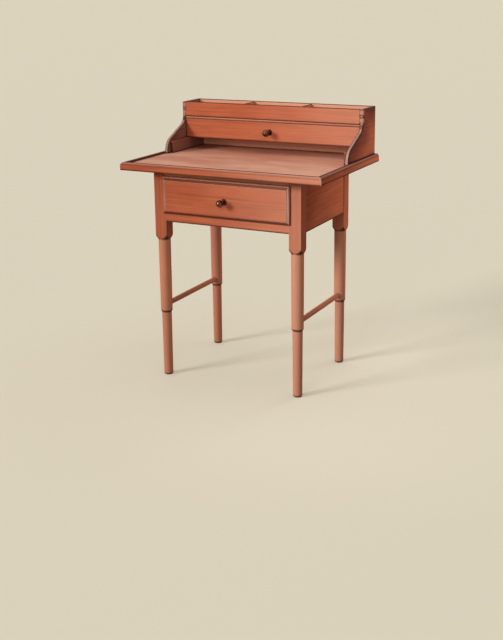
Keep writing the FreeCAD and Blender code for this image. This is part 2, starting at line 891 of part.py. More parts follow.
def make_gallery():
    """The gallery: back, tray floor, tray front, dividers, cleats and the two shaped sides."""
    nails = make_back_nails()
    back = box(
        "gallery_back_stock",
        [-gallery_inner_x - S["rabbet_width"], back_panel_face, S["surface_height"]],
        [gallery_inner_x + S["rabbet_width"], gallery_rear, gallery_top],
    )
    finished(cut("gallery_back", back, nails), "gallery_back")
    floor = board(
        "tray_floor_stock",
        [-gallery_inner_x - S["tray_housing"], gallery_face + S["tray_floor_setback"], tray_floor_bottom],
        [gallery_inner_x + S["tray_housing"], back_panel_face, tray_floor_top],
        S["tray_ease"],
        lambda middle, edge: near(middle.y, 0) and near(middle.z, 0),
    )
    finished(cut("tray_floor", floor, nails), "tray_floor")
    front = make_tray_front()
    rear_of_front = gallery_face + S["tray_front_thickness"]
    bay = 2 * gallery_inner_x / 3
    dividers = []
    for side, sign in SIDES:
        middle = sign * bay / 2
        divider = board(
            "tray_divider_" + side,
            [middle - S["divider_thickness"] / 2, rear_of_front - S["divider_housing"], tray_floor_top],
            [middle + S["divider_thickness"] / 2, back_panel_face, gallery_top - S["divider_drop"]],
            S["tray_ease"],
            lambda point, edge: along(edge, Y_WAY) and above(point.z, 0),
        )
        dividers.append(finished(divider, "tray_divider_" + side))
    finished(cut("tray_front", front, dividers), "tray_front")
    screws = []
    for side, sign in SIDES:
        label = "gallery_side_" + side
        below = []
        for number, share in enumerate(GALLERY_SCREW_SHARES):
            below.append(screw(
                "gallery_screw_%s_%d" % (side, number),
                sign * (gallery_inner_x + gallery_outer_x) / 2,
                gallery_rear - S["gallery_depth"] * share,
                frame_top,
                S["top_thickness"] + S["gallery_screw_bite"],
            ))
        screws += below
        entering = [back, floor, front] + below + nails
        finished(cut(label, ogee_side(label, sign), entering), label)
        cleat_low = [
            gallery_inner_x - S["cleat_thickness"] if sign > 0 else -gallery_inner_x,
            gallery_rear - S["gallery_depth"] + S["cleat_setback"],
            S["surface_height"],
        ]
        cleat_high = [
            gallery_inner_x if sign > 0 else S["cleat_thickness"] - gallery_inner_x,
            back_panel_face,
            S["surface_height"] + S["cleat_height"],
        ]
        cleat = board(
            "cleat_" + side,
            cleat_low,
            cleat_high,
            S["cleat_round"],
            lambda middle, edge: near(middle.y, 0) and along(edge, X_WAY) and above(middle.z, 0),
        )
        finished(cleat, "cleat_" + side)
    finished(grouped("gallery_screws", screws), "gallery_screws")
    return screws


def knob(label, x, face, z):
    """A turned brass knob: a round base, a hollow neck and a ball, standing out to the front."""
    ball = S["knob_ball_diameter"] / 2
    neck = S["knob_neck_diameter"] / 2
    meeting = S["knob_ball_at"] - root(ball * ball - neck * neck)
    body = new_body(label + "_turned")
    sketch = sketch_on(body, "YZ_Plane", label + "_half")
    outline(sketch, [
        (0, 0),
        (-S["knob_ball_at"] - ball, 0, (-S["knob_ball_at"], 0, ball, False)),
        (-meeting, neck),
        (-S["knob_neck_at"], neck),
        (-S["knob_base_thickness"], S["knob_collar_diameter"] / 2),
        (-S["knob_base_thickness"], S["knob_base_diameter"] / 2),
        (0, S["knob_base_diameter"] / 2),
    ])
    turned = body.newObject("PartDesign::Revolution", label + "_revolved")
    turned.Profile = sketch
    turned.ReferenceAxis = (sketch, ["H_Axis"])
    turned.Angle = 360
    return place(body, x, face, z)


def drawer_box(label, sizes, front_blank):
    """Sides, back, bottom, knob and front of one drawer. Tails on the sides enter the front
    half-blind and pass right through the back."""
    left_x, right_x = sizes["left"], sizes["right"]
    low, high = sizes["low"], sizes["high"]
    face, rear = sizes["tails_from"], sizes["rear"]
    side = sizes["side"]
    back = sizes["back"]
    lap = sizes["tail_length"]
    panel_low = low + sizes["panel_height"]
    panel_high = panel_low + sizes["panel"]
    panel = box(
        label + "_bottom_stock",
        [left_x + side - sizes["groove"], face + lap - sizes["groove"], panel_low],
        [right_x - side + sizes["groove"], rear, panel_high],
    )
    nails = [
        nail(
            "%s_nail_%d" % (label, number),
            right_x * share,
            rear - back / 2,
            panel_low,
            sizes["panel"] + S["bottom_nail_bite"],
        )
        for number, share in enumerate(BOTTOM_NAIL_SHARES)
    ]
    finished(grouped(label + "_nails", nails), label + "_nails")
    finished(cut(label + "_bottom", panel, nails), label + "_bottom")
    sides = []
    height = high - low
    shaped_height = height - (panel_high - low)
    for name, x in (("left", left_x), ("right", right_x - side)):
        body = new_body("%s_side_%s_body" % (label, name))
        sketch = sketch_on(body, "YZ_Plane", "%s_side_%s_outline" % (label, name))
        length = rear - face
        count = sizes["tails"]
        front_tails = tail_corners(lap, 0, as_size(0), height, count, lap * S["tail_slope_share"])
        back_tails = tail_corners(
            length - back, length, height - shaped_height, height, count, back * S["tail_slope_share"]
        )
        outline(
            sketch,
            [(lap, 0), (length - back, 0)]
            + back_tails
            + [(length - back, height), (lap, height)]
            + list(reversed(front_tails)),
        )
        pad(body, sketch, side)
        place(body, x, face, low)
        sides.append(finished(cut("%s_side_%s" % (label, name), body, [panel]), "%s_side_%s" % (label, name)))
    back_stock = box(
        label + "_back_stock",
        [left_x, rear - back, panel_high],
        [right_x, rear, high - sizes["back_drop"]],
    )
    finished(cut(label + "_back", back_stock, sides + nails), label + "_back")
    fixing = screw(
        label + "_knob_screw",
        0,
        sizes["front_rear"],
        sizes["knob_height"],
        sizes["front_thickness"] + S["knob_screw_reach"],
        Rotation(X_WAY, 90),
    )
    finished(fixing, label + "_knob_screw")
    turned = knob(label + "_knob", 0, sizes["front_face"], sizes["knob_height"])
    finished(cut(label + "_knob", turned, [fixing]), label + "_knob")
    finished(cut(label + "_front", front_blank, sides + [panel, fixing]), label + "_front")


def lipped_front(label, low_x, high_x, low_z, high_z):
    """The main drawer's front: a box part that enters the opening, a lip that overlaps the
    frame at both ends and above, and a raised field inside a quarter-round border."""
    body = new_body(label)
    lip_low = (low_x - S["lip_side"], low_z)
    lip_high = (high_x + S["lip_side"], high_z + S["lip_top"])
    lip = sketch_on(body, "XZ_Plane", label + "_lip")
    rectangle(lip, lip_low, lip_high)
    slab = pad(body, lip, S["lip_thickness"])
    ease(
        body,
        slab,
        S["lip_round"],
        lambda middle, edge: near(middle.y, -S["lip_thickness"].value),
    )
    field = sketch_on(body, "XZ_Plane", label + "_field")
    rectangle(
        field,
        (lip_low[0] + S["field_side_margin"], lip_low[1] + S["field_bottom_margin"]),
        (lip_high[0] - S["field_side_margin"], lip_high[1] - S["field_top_margin"]),
    )
    pad(body, field, S["lip_thickness"] + S["field_rise"])
    rear = sketch_on(body, "XZ_Plane", label + "_rear")
    rectangle(rear, (low_x, low_z), (high_x, high_z))
    pad(body, rear, S["front_inner_thickness"], True)
    return place(body, 0, front_leg_face - S["lip_air"], 0)


def make_main_drawer():
    """The wide drawer below the top."""
    low_x = S["drawer_gap"] - leg_inner_x
    high_x = leg_inner_x - S["drawer_gap"]
    low = opening_bottom
    high = opening_top - S["drawer_gap"]
    plane = front_leg_face - S["lip_air"]
    front_rear = plane + S["front_inner_thickness"]
    tail = S["front_inner_thickness"] - S["blind_lap"]
    proud = S["lip_thickness"] + S["field_rise"]
    front = lipped_front("main_drawer_front_body", low_x, high_x, low, high)
    drawer_box("main_drawer", {
        "left": low_x, "right": high_x, "low": low, "high": high,
        "tails_from": front_rear - tail, "tail_length": tail,
        "rear": back_apron_inner - S["drawer_rear_air"],
        "side": S["side_thickness"], "back": S["back_thickness"],
        "panel": S["panel_thickness"], "panel_height": S["panel_height"],
        "groove": S["groove_depth"], "back_drop": S["back_drop"], "tails": 3,
        "front_thickness": S["front_inner_thickness"] + proud,
        "front_rear": front_rear, "front_face": plane - proud,
        "knob_height": (low + high + S["lip_top"]) / 2 - S["knob_drop"],
    }, front)


def make_small_drawer():
    """The shallow drawer of the gallery, which rides on the cleats."""
    low_x = S["small_gap"] - gallery_inner_x
    high_x = gallery_inner_x - S["small_gap"]
    low = small_drawer_bottom
    high = tray_floor_bottom - S["small_gap"]
    front_rear = gallery_face + S["small_front_thickness"]
    tail = S["small_front_thickness"] - S["small_blind_lap"]
    front = board(
        "small_drawer_front_body",
        [low_x, gallery_face, low],
        [high_x, front_rear, high],
        S["drawer_ease"],
        lambda middle, edge: near(middle.y, 0),
    )
    drawer_box("small_drawer", {
        "left": low_x, "right": high_x, "low": low, "high": high,
        "tails_from": front_rear - tail, "tail_length": tail,
        "rear": back_panel_face - S["small_back_air"],
        "side": S["small_side_thickness"], "back": S["small_back_thickness"],
        "panel": S["small_panel_thickness"], "panel_height": S["small_panel_height"],
        "groove": S["small_groove_depth"], "back_drop": S["back_drop"], "tails": 2,
        "front_thickness": S["small_front_thickness"],
        "front_rear": front_rear, "front_face": gallery_face,
        "knob_height": (low + high) / 2,
    }, front)


def check_and_save():
    """Stops if anything failed, then writes one file for each piece."""
    doc.recompute()
    for item in doc.Objects:
        if "Invalid" in item.State or "Error" in item.State:
            raise RuntimeError("%s failed: %s" % (item.Label, item.State))
    os.makedirs("parts", exist_ok=True)
    for item in pieces:
        shape = item.Shape
        if shape.isNull() or not shape.isValid() or not shape.Solids:
            raise RuntimeError("%s has no sound solid" % item.Label)
        shape.exportStep("parts/%s.step" % item.Label)
        print("%-26s solids %d volume %.0f" % (item.Label, len(shape.Solids), shape.Volume))


aprons = make_aprons()
stretchers = make_stretchers()
make_legs(aprons, stretchers)
top_screws = make_drawer_carriers()
make_rims()
gallery_screws = make_gallery()
make_top(top_screws + gallery_screws)
make_main_drawer()
make_small_drawer()
check_and_save()
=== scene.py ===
# A small sewing desk in red-stained wood: four turned legs, a rimmed top with a lipped drawer
# below it, and a low gallery above that holds a shallow drawer and a divided tray.
# Lengths are in metres: X to the sitter's right, Y to the gallery at the back, Z up.
import json
import math
import bmesh
import bpy
from mathutils import Matrix, Vector


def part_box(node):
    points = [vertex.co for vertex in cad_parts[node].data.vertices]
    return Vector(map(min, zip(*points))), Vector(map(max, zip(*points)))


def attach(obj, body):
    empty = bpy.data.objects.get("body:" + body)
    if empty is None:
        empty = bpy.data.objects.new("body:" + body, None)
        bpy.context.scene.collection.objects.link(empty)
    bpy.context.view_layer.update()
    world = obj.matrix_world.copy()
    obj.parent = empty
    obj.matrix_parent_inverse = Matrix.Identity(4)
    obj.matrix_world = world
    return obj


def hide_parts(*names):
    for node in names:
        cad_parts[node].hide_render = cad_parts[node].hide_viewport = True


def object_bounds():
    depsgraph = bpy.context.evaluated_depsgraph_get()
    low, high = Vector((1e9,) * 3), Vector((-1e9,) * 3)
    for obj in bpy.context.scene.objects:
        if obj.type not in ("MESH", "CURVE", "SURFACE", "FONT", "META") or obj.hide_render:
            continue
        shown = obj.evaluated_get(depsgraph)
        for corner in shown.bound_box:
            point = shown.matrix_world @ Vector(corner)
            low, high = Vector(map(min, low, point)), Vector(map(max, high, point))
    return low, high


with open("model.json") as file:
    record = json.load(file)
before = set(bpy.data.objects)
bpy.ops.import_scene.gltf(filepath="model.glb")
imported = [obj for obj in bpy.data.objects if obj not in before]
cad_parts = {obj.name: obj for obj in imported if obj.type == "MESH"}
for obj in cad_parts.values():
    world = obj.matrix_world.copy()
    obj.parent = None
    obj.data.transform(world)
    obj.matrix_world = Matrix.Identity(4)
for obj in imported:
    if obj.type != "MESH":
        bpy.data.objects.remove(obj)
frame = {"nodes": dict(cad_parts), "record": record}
cadLow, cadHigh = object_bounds()
mm = 0.001
axisNumber = {"X": 0, "Y": 1, "Z": 2}
sides = {"left": -1, "right": 1}
closeness, trueness = 0.02 * mm, 0.999  # to a place, and to the way of an axis
softenOver, smoothUnder = 35, 32  # angles between faces, in degrees
flat, square, steep, tilted = 0.97, 0.9, 0.5, 0.2  # how far a face's normal leans along an axis
slotOf = {part["node"]: part["material_slot"] for part in frame["record"]["subparts"]}
madePieces = []
print("frame loaded with", len(frame["nodes"]), "nodes")


# Selecting and editing

def deselect():
    bpy.ops.object.select_all(action="DESELECT")


def activate(piece):
    deselect()
    piece.select_set(True)
    bpy.context.view_layer.objects.active = piece


def openPiece(piece):
    activate(piece)
    bpy.ops.object.mode_set(mode="EDIT")
    bpy.ops.mesh.select_mode(type="VERT")
    bpy.ops.mesh.select_all(action="SELECT")


def closePiece():
    bpy.ops.object.mode_set(mode="OBJECT")


def pick(piece, kind, wanted):
    # Selects the vertices, edges or faces that the test wants.
    bpy.ops.mesh.select_mode(type=kind)
    bpy.ops.mesh.select_all(action="DESELECT")
    mesh = bmesh.from_edit_mesh(piece.data)
    mesh.normal_update()
    for item in {"VERT": mesh.verts, "EDGE": mesh.edges, "FACE": mesh.faces}[kind]:
        if wanted(item):
            item.select_set(True)
    mesh.select_flush_mode()
    bmesh.update_edit_mesh(piece.data)


def middleOf(edge):
    return (edge.verts[0].co + edge.verts[1].co) / 2


def runsAlong(edge, axis):
    run = edge.verts[1].co - edge.verts[0].co
    return abs(run[axisNumber[axis]]) > trueness * run.length


def near(one, two):
    return abs(one - two) < closeness


def edgesAt(axis=None, **places):
    # A test for edges with their middle at these places, and along the axis if one is given.
    return lambda edge: (not axis or runsAlong(edge, axis)) and all(
        near(getattr(middleOf(edge), across), place) for across, place in places.items())


def facesAt(axis, place):
    # A test for faces that lie at a place along the axis.
    return lambda face: near(face.calc_center_median()[axisNumber[axis]], place)


def extent(points):
    # The lowest and the highest corner of the box round some points.
    return [[end(point[i] for point in points) for i in range(3)] for end in (min, max)]


def wordOf(node):
    # The name that the new piece for a node carries.
    first, *rest = node.split("_")
    return first + "".join(word.title() for word in rest)


def stepAlong(axis, length):
    step = Vector((0, 0, 0))
    step[axisNumber[axis]] = length
    return step


def adjust(thing, settings):
    for setting, value in settings.items():
        setattr(thing, setting, value)


def named(name):
    piece = bpy.context.object
    piece.name = name
    piece.data.name = name
    bpy.ops.object.transform_apply(location=True, rotation=True, scale=True)
    return piece


def finishWith(piece, kind, **settings):
    # Adds a modifier and applies it.
    modifier = piece.modifiers.new(kind.lower(), kind)
    adjust(modifier, settings)
    activate(piece)
    bpy.ops.object.modifier_apply(modifier=modifier.name)


def cutBy(piece, tools):
    for tool in tools:
        finishWith(piece, "BOOLEAN", operation="DIFFERENCE", solver="EXACT", object=tool)


def discard(piece):
    bpy.data.objects.remove(piece, do_unlink=True)


def extrude(reach):
    bpy.ops.mesh.extrude_region_move(TRANSFORM_OT_translate={"value": reach})


def closeSolid():
    # Turns every face of an open piece outward and closes it.
    bpy.ops.mesh.select_all(action="SELECT")
    bpy.ops.mesh.normals_make_consistent(inside=False)
    closePiece()


# Ways of making a piece

def addBoard(name, low, high):
    deselect()
    low, high = Vector(low), Vector(high)
    bpy.ops.mesh.primitive_cube_add(size=1, location=(low + high) / 2, scale=high - low)
    return named(name)


def boardFor(node):
    return addBoard(wordOf(node), *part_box(node))


def turnPiece(name, centre, way, rings, around, poled=False):
    # Rings are (distance along the way, radius), from one end to the other.
    deselect()
    way, centre = Vector(way), Vector(centre)
    bpy.ops.mesh.primitive_circle_add(
        vertices=around,
        radius=rings[0][1],
        fill_type="NGON",
        location=centre + way * rings[0][0],
        rotation=way.to_track_quat("Z", "Y").to_euler(),
    )
    piece = named(name)
    openPiece(piece)
    for (before, wide), (after, narrow) in zip(rings, rings[1:]):
        extrude(way * (after - before))
        bpy.ops.transform.resize(value=(narrow / wide,) * 3, center_override=centre + way * after)
    if poled:
        bpy.ops.mesh.merge(type="CENTER")
    closeSolid()
    return piece


def cutOut(name, outline, axis, low, high):
    # A board sawn to an outline that lies across the axis, between two places along it.
    deselect()
    slot = axisNumber[axis]
    corners = [Vector(tuple(c[:slot]) + (low,) + tuple(c[slot:])) for c in outline]
    bpy.ops.mesh.primitive_plane_add(size=mm, location=corners[0])
    piece = named(name)
    openPiece(piece)
    bpy.ops.mesh.merge(type="CENTER")
    for here, there in zip(corners, corners[1:]):
        extrude(there - here)
    bpy.ops.mesh.select_all(action="SELECT")
    bpy.ops.mesh.edge_face_add()
    extrude(stepAlong(axis, high - low))
    closeSolid()
    return piece


def arc(centre, radius, start, stop, steps):
    # Points on an arc between two angles, given in degrees.
    turns = [math.radians(start + (stop - start) * step / steps) for step in range(steps + 1)]
    return [(centre[0] + radius * math.cos(t), centre[1] + radius * math.sin(t)) for t in turns]


def bevelEdges(piece, wanted, width, segments=3):
    openPiece(piece)
    pick(piece, "EDGE", wanted)
    bpy.ops.mesh.bevel(offset=width, segments=segments, affect="EDGES", clamp_overlap=True)
    closePiece()


def softenEdges(piece, width, segments=3):
    finishWith(piece, "BEVEL", width=width, segments=segments, limit_method="ANGLE",
               angle_limit=math.radians(softenOver))


def addTenons(piece, axis, length, thickness, shoulder):
    # Narrows both ends of a board and draws them out.
    slot = axisNumber[axis]
    across = 1 - slot
    ends = [corner[slot] for corner in extent([v.co for v in piece.data.vertices])]
    for end, sign in zip(ends, (-1, 1)):
        openPiece(piece)
        pick(piece, "FACE", facesAt(axis, end))
        low, high = extent([v.co.copy() for v in bmesh.from_edit_mesh(piece.data).verts if v.select])
        spread = [top - bottom for bottom, top in zip(low, high)]
        middle = [(top + bottom) / 2 for bottom, top in zip(low, high)]
        shrink = [1, 1, (spread[2] - 2 * shoulder) / spread[2]]
        shrink[across] = thickness / spread[across]
        extrude((0, 0, 0))
        bpy.ops.transform.resize(value=shrink, center_override=middle)
        extrude(stepAlong(axis, sign * length))
        closePiece()


def scoreAcross(piece, axis, places):
    # Cuts through a piece at places along the axis, so that its marks can change there.
    way = stepAlong(axis, 1)
    openPiece(piece)
    for place in places:
        bpy.ops.mesh.select_all(action="SELECT")
        bpy.ops.mesh.bisect(plane_co=way * place, plane_no=way)
    closePiece()


def layGrain(piece, along, shade):
    # Gives each board its own place in a tree: how far along the grain each point lies, and
    # how far across from the pith, which lies off the board's broad face. The shade is added
    # to each point's tone.
    plan = grainPlan
    corners = [vertex.co for vertex in piece.data.vertices]
    low, high = extent(corners)
    middle = [(bottom + top) / 2 for bottom, top in zip(low, high)]
    first = axisNumber[along]
    thin, broad = sorted((i for i in range(3) if i != first), key=lambda i: high[i] - low[i])
    number = len(madePieces)
    turn = plan["turn"] * number
    depth = plan["pithDepth"] * (1 + plan["pithSpread"] * math.sin(turn))
    drift = plan["pithDrift"] * math.cos(plan["driftTurn"] * turn)
    places = []
    for c in corners:
        places += [c[first] + plan["apart"] * number, c[thin] - middle[thin] + depth,
                   c[broad] - middle[broad] + drift]
    grain = piece.data.attributes.new("grainAt", "FLOAT_VECTOR", "POINT")
    grain.data.foreach_set("vector", places)
    base = plan["toneSpread"] * math.sin(plan["toneTurn"] * turn)
    tone = piece.data.attributes.new("boardTone", "FLOAT", "POINT")
    tone.data.foreach_set("value", [base + shade(c, low, high) for c in corners])


grainPlan = {
    "turn": 2.4, "driftTurn": 1.7, "toneTurn": 3.1, "toneSpread": 0.12, "apart": 0.37,
    "pithDepth": 75 * mm, "pithSpread": 0.3, "pithDrift": 30 * mm, "shadeInFront": 0.5, "unlit": 0.3,
}
edgePlan = {"dirt": -0.85, "rub": 0.25}


def fromFront(amount):
    # A shade that goes from this amount at the front of a board to its negative at the back.
    return lambda place, low, high: amount * ((low[1] + high[1] - 2 * place.y) / (high[1] - low[1]))


def markFaces(piece, name, amount):
    marks = piece.data.attributes.new(name, "FLOAT", "FACE")
    marks.data.foreach_set("value", [amount(face) for face in piece.data.polygons])


def nowhere(face):
    return 0


def looksInward(face):
    # Whether a face looks to the middle of the desk.
    return face.normal.x * face.center.x < -square * abs(face.center.x)


def onEdges(face):
    # Pale above 0, dark below 0: narrow edge faces that look down are grimy and painted dark as shade,
    # and the others are rubbed by hands and painted pale as highlights.
    if max(abs(value) for value in face.normal) > flat:
        return 0
    return edgePlan["dirt" if face.normal.z < -tilted else "rub"]


def settle(piece, node, along, finish="stainedWood", body="desk", worn=onEdges, thin=nowhere,
           shade=None):
    # Gives a finished piece its grain, finish, shading and place in the frame. Faces carry, up to 1, a
    # mark of rubbing and grime that in many places is painted highlight and shade, and a mark of how
    # thin their stain is, which in some places is painted light. Boards that run to the back are painted
    # darker in front, as shade.
    layGrain(piece, along, shade or fromFront(grainPlan["shadeInFront"] if along == "Y" else 0))
    markFaces(piece, "worn", worn)
    markFaces(piece, "thin", thin)
    piece.data.materials.clear()
    piece.data.materials.append(finishes[finish])
    activate(piece)
    bpy.ops.object.shade_smooth_by_angle(angle=math.radians(smoothUnder))
    finishWith(piece, "WEIGHTED_NORMAL", keep_sharp=True)
    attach(piece, body)
    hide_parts(node)
    madePieces.append(piece)


# Materials

def paint(red, green, blue):
    # A colour from its sRGB levels, 0 to 255.
    levels = [level / 255 for level in (red, green, blue)]
    return tuple(x / 12.92 if x < 0.04045 else ((x + 0.055) / 1.055) ** 2.4 for x in levels) + (1,)


def feed(tree, sockets, values):
    # Sets each input, by name or number, to a value or links a socket to it.
    for key, value in values.items():
        if isinstance(value, bpy.types.NodeSocket):
            tree.links.new(value, sockets[key])
        else:
            sockets[key].default_value = value


def addNode(tree, kind, values=None, **settings):
    node = tree.nodes.new(kind)
    adjust(node, settings)
    feed(tree, node.inputs, values or {})
    return node


def sums(tree, operation, *values):
    return addNode(tree, "ShaderNodeMath", dict(enumerate(values)), operation=operation).outputs[0]


def times(tree, one, two):
    return sums(tree, "MULTIPLY", one, two)


def vectors(tree, operation, *values):
    # The results of a sum with vectors: first a vector, then a number.
    return addNode(tree, "ShaderNodeVectorMath", dict(enumerate(values)), operation=operation).outputs


def alongAxis(tree, vector, axis):
    return addNode(tree, "ShaderNodeSeparateXYZ", {0: vector}).outputs[axis]


def ramp(tree, value, low, high, bottom=0.0, top=1.0):
    # Smoothly from bottom to top as the value passes from low to high.
    return addNode(tree, "ShaderNodeMapRange", {
        "Value": value, "From Min": low, "From Max": high, "To Min": bottom, "To Max": top,
    }, interpolation_type="SMOOTHSTEP").outputs[0]


def mixed(tree, share, one, two):
    return addNode(tree, "ShaderNodeMix", {0: share, 6: one, 7: two}, data_type="RGBA").outputs[2]


def clouds(tree, vector, stretch, detail, rough=0.5):
    return addNode(tree, "ShaderNodeTexNoise", {
        "Vector": vectors(tree, "MULTIPLY", vector, stretch)[0],
        "Scale": 1.0, "Detail": detail, "Roughness": rough,
    }).outputs


def patches(tree, vector, cloud, ends):
    # Clouds, ramped between two ends.
    return ramp(tree, clouds(tree, vector, *cloud)["Fac"], *ends)


def newGroup(name, inputs, outputs):
    # Each input is the kind of its socket, or a number for it to hold.
    tree = bpy.data.node_groups.new(name, "ShaderNodeTree")
    for label, value in inputs.items():
        kind = value if isinstance(value, str) else "Float"
        socket = tree.interface.new_socket(label, in_out="INPUT", socket_type="NodeSocket" + kind)
        if kind == "Float":
            socket.default_value = value
    for label, kind in outputs.items():
        tree.interface.new_socket(label, in_out="OUTPUT", socket_type="NodeSocket" + kind)
    return tree, tree.nodes.new("NodeGroupInput").outputs, tree.nodes.new("NodeGroupOutput").inputs


figurePlan = {  # clouds by stretch, detail and roughness, ramps by their ends, patches by both
    "sway": ((2.2, 16, 16), 2.0), "rise": (0.25, 0.85), "fall": (0.88, 1.0, 1.0, 0.0),
    "patches": (((5, 30, 30), 1.0), (0.3, 0.7, 0.35, 1.0)),
    "fine": ((11, 900, 900), 3.0, 0.6), "coarse": ((4, 170, 170), 2.0), "fineShare": 0.55,
    "streaky": (0.36, 0.66), "mottle": (((5, 13, 13), 3.0, 0.55), (0.3, 0.7)),
}


def makeFigure():
    # Growth rings, fine streaks and cloudy patches of wood, each from 0 to 1.
    plan = figurePlan
    tree, given, wanted = newGroup(
        "woodFigure", {"Grain": "Vector", "Ring Gap": 3 * mm, "Wobble": 7 * mm},
        {"Ring": "Float", "Streak": "Float", "Mottle": "Float"})
    grain = given["Grain"]
    sway = vectors(tree, "SUBTRACT", clouds(tree, grain, *plan["sway"])["Color"], (0.5, 0.5, 0.5))[0]
    moved = vectors(tree, "ADD", grain, vectors(tree, "MULTIPLY", sway, given["Wobble"])[0])[0]
    reach = vectors(tree, "LENGTH", vectors(tree, "MULTIPLY", moved, (0, 1, 1))[0])[1]
    phase = sums(tree, "FRACT", sums(tree, "DIVIDE", reach, given["Ring Gap"]))
    ring = times(tree, ramp(tree, phase, *plan["rise"]), ramp(tree, phase, *plan["fall"]))
    fine = times(tree, clouds(tree, grain, *plan["fine"])["Fac"], plan["fineShare"])
    coarse = clouds(tree, grain, *plan["coarse"])["Fac"]
    streak = sums(tree, "MULTIPLY_ADD", coarse, 1 - plan["fineShare"], fine)
    feed(tree, wanted, {
        "Ring": times(tree, ring, patches(tree, grain, *plan["patches"])),
        "Streak": ramp(tree, streak, *plan["streaky"]),
        "Mottle": patches(tree, grain, *plan["mottle"]),
    })
    return tree


wearAndShadePlan = {
    "reach": 7.5 * mm, "depth": 7 * mm, "samples": 6, "corner": (0.14, 0.28), "under": (-0.03, -0.13),
    "proud": (0.62, 0.85), "seam": (0.78, 0.4),
    "patches": (((45, 45, 45), 3.0), (0.32, 0.62, 0.35, 1.0)),
}


def makeWearAndShade():
    # Where the corners are pale, rubbed by hands and painted as highlights, and where they are dark,
    # grimy and painted as shade: in the corners, and along the edges that look down.
    plan = wearAndShadePlan
    tree, given, wanted = newGroup(
        "edgeWearAndShade", {"At": "Vector", "Reach": plan["reach"], "Depth": plan["depth"]},
        {"Rub": "Float", "Seam": "Float"})
    samples = plan["samples"]
    bent = addNode(tree, "ShaderNodeBevel", {"Radius": given["Reach"]}, samples=samples).outputs[0]
    straight = tree.nodes.new("ShaderNodeNewGeometry").outputs["Normal"]
    match = vectors(tree, "DOT_PRODUCT", bent, straight)[1]
    corner = ramp(tree, sums(tree, "SUBTRACT", 1.0, match), *plan["corner"])
    lean = vectors(tree, "SUBTRACT", bent, straight)[0]
    under = ramp(tree, alongAxis(tree, lean, "Z"), *plan["under"])
    openness = addNode(
        tree, "ShaderNodeAmbientOcclusion", {"Distance": given["Depth"]}, samples=samples).outputs["AO"]
    rub = times(tree, corner, ramp(tree, openness, *plan["proud"]))
    rub = times(tree, rub, patches(tree, given["At"], *plan["patches"]))
    feed(tree, wanted, {
        "Rub": times(tree, rub, sums(tree, "SUBTRACT", 1.0, under)),
        "Seam": sums(tree, "MAXIMUM", ramp(tree, openness, *plan["seam"]), under),
    })
    return tree


finishPlan = {
    "blush": (((7, 19, 19), 2.0), (0.45, 0.68)), "overDeep": (0.9, 1.7, 0.0, 0.6),
    "ahead": (-0.2, -0.9), "sunny": (-0.15, 0.4), "streakGloss": 0.08, "mottleGloss": 0.06,
    "seamGloss": 0.25, "ringRelief": -0.6, "streakRelief": -0.5,
    "relief": 0.35, "reliefDepth": 0.15 * mm, "shine": 0.05,
}
finishShares = {
    "Tone": 0.0, "Worn": 0.0, "Thin": 0.0, "Painted Light Share": 0.0, "Ring Gap": 3 * mm, "Gloss": 0.4,
    "Ring Share": 0.2, "Streak Share": 0.2, "Mottle Share": 0.2, "Blush Share": 0.3,
    "Wear And Highlight Share": 0.7, "Seam Share": 0.8,
}
finishColours = ("Pale", "Deep", "Blush", "Rubbed And Lit", "Grime", "Washed And Lit")


def makeFinishGroup(figure, wearAndShadeGroup):
    # The colour, gloss and relief of stained wood, with light painted paler on its front towards the
    # right end.
    plan = finishPlan
    inputs = {"Grain": "Vector", "At": "Vector", **dict.fromkeys(finishColours, "Color"), **finishShares}
    outputs = {"Color": "Color", "Roughness": "Float", "Height": "Float"}
    tree, given, wanted = newGroup("stainedFinish", inputs, outputs)
    wood = addNode(tree, "ShaderNodeGroup", {
        "Grain": given["Grain"], "Ring Gap": given["Ring Gap"],
    }, node_tree=figure).outputs
    edges = addNode(tree, "ShaderNodeGroup", {"At": given["At"]}, node_tree=wearAndShadeGroup).outputs
    depth = given["Tone"]
    for kind in ("Ring", "Streak", "Mottle"):
        depth = sums(tree, "MULTIPLY_ADD", wood[kind], given[kind + " Share"], depth)
    blush = patches(tree, given["Grain"], *plan["blush"])
    facing = tree.nodes.new("ShaderNodeNewGeometry").outputs["Normal"]
    ahead = ramp(tree, alongAxis(tree, facing, "Y"), *plan["ahead"])
    sunny = ramp(tree, alongAxis(tree, given["At"], "X"), *plan["sunny"])
    seam = times(tree, edges["Seam"], given["Seam Share"])
    # The grime colour also paints shade, and the rubbed and washed colours also paint highlights and
    # light.
    layers = (
        (times(tree, blush, given["Blush Share"]), "Blush"),
        (given["Thin"], "Washed And Lit"),
        (ramp(tree, depth, *plan["overDeep"]), "Grime"),
        (times(tree, times(tree, sunny, ahead), given["Painted Light Share"]), "Washed And Lit"),
        (sums(tree, "MAXIMUM", given["Worn"], 0.0), "Rubbed And Lit"),
        (sums(tree, "MAXIMUM", times(tree, given["Worn"], -1.0), 0.0), "Grime"),
        (seam, "Grime"),
        (times(tree, edges["Rub"], given["Wear And Highlight Share"]), "Rubbed And Lit"),
    )
    colour = mixed(tree, depth, given["Pale"], given["Deep"])
    for share, label in layers:
        colour = mixed(tree, share, colour, given[label])
    gloss = given["Gloss"]
    duller = {"streakGloss": wood["Streak"], "mottleGloss": wood["Mottle"], "seamGloss": seam}
    for share, mask in duller.items():
        gloss = sums(tree, "MULTIPLY_ADD", mask, plan[share], gloss)
    relief = times(tree, wood["Streak"], plan["streakRelief"])
    relief = sums(tree, "MULTIPLY_ADD", wood["Ring"], plan["ringRelief"], relief)
    feed(tree, wanted, {"Color": colour, "Roughness": gloss, "Height": relief})
    return tree


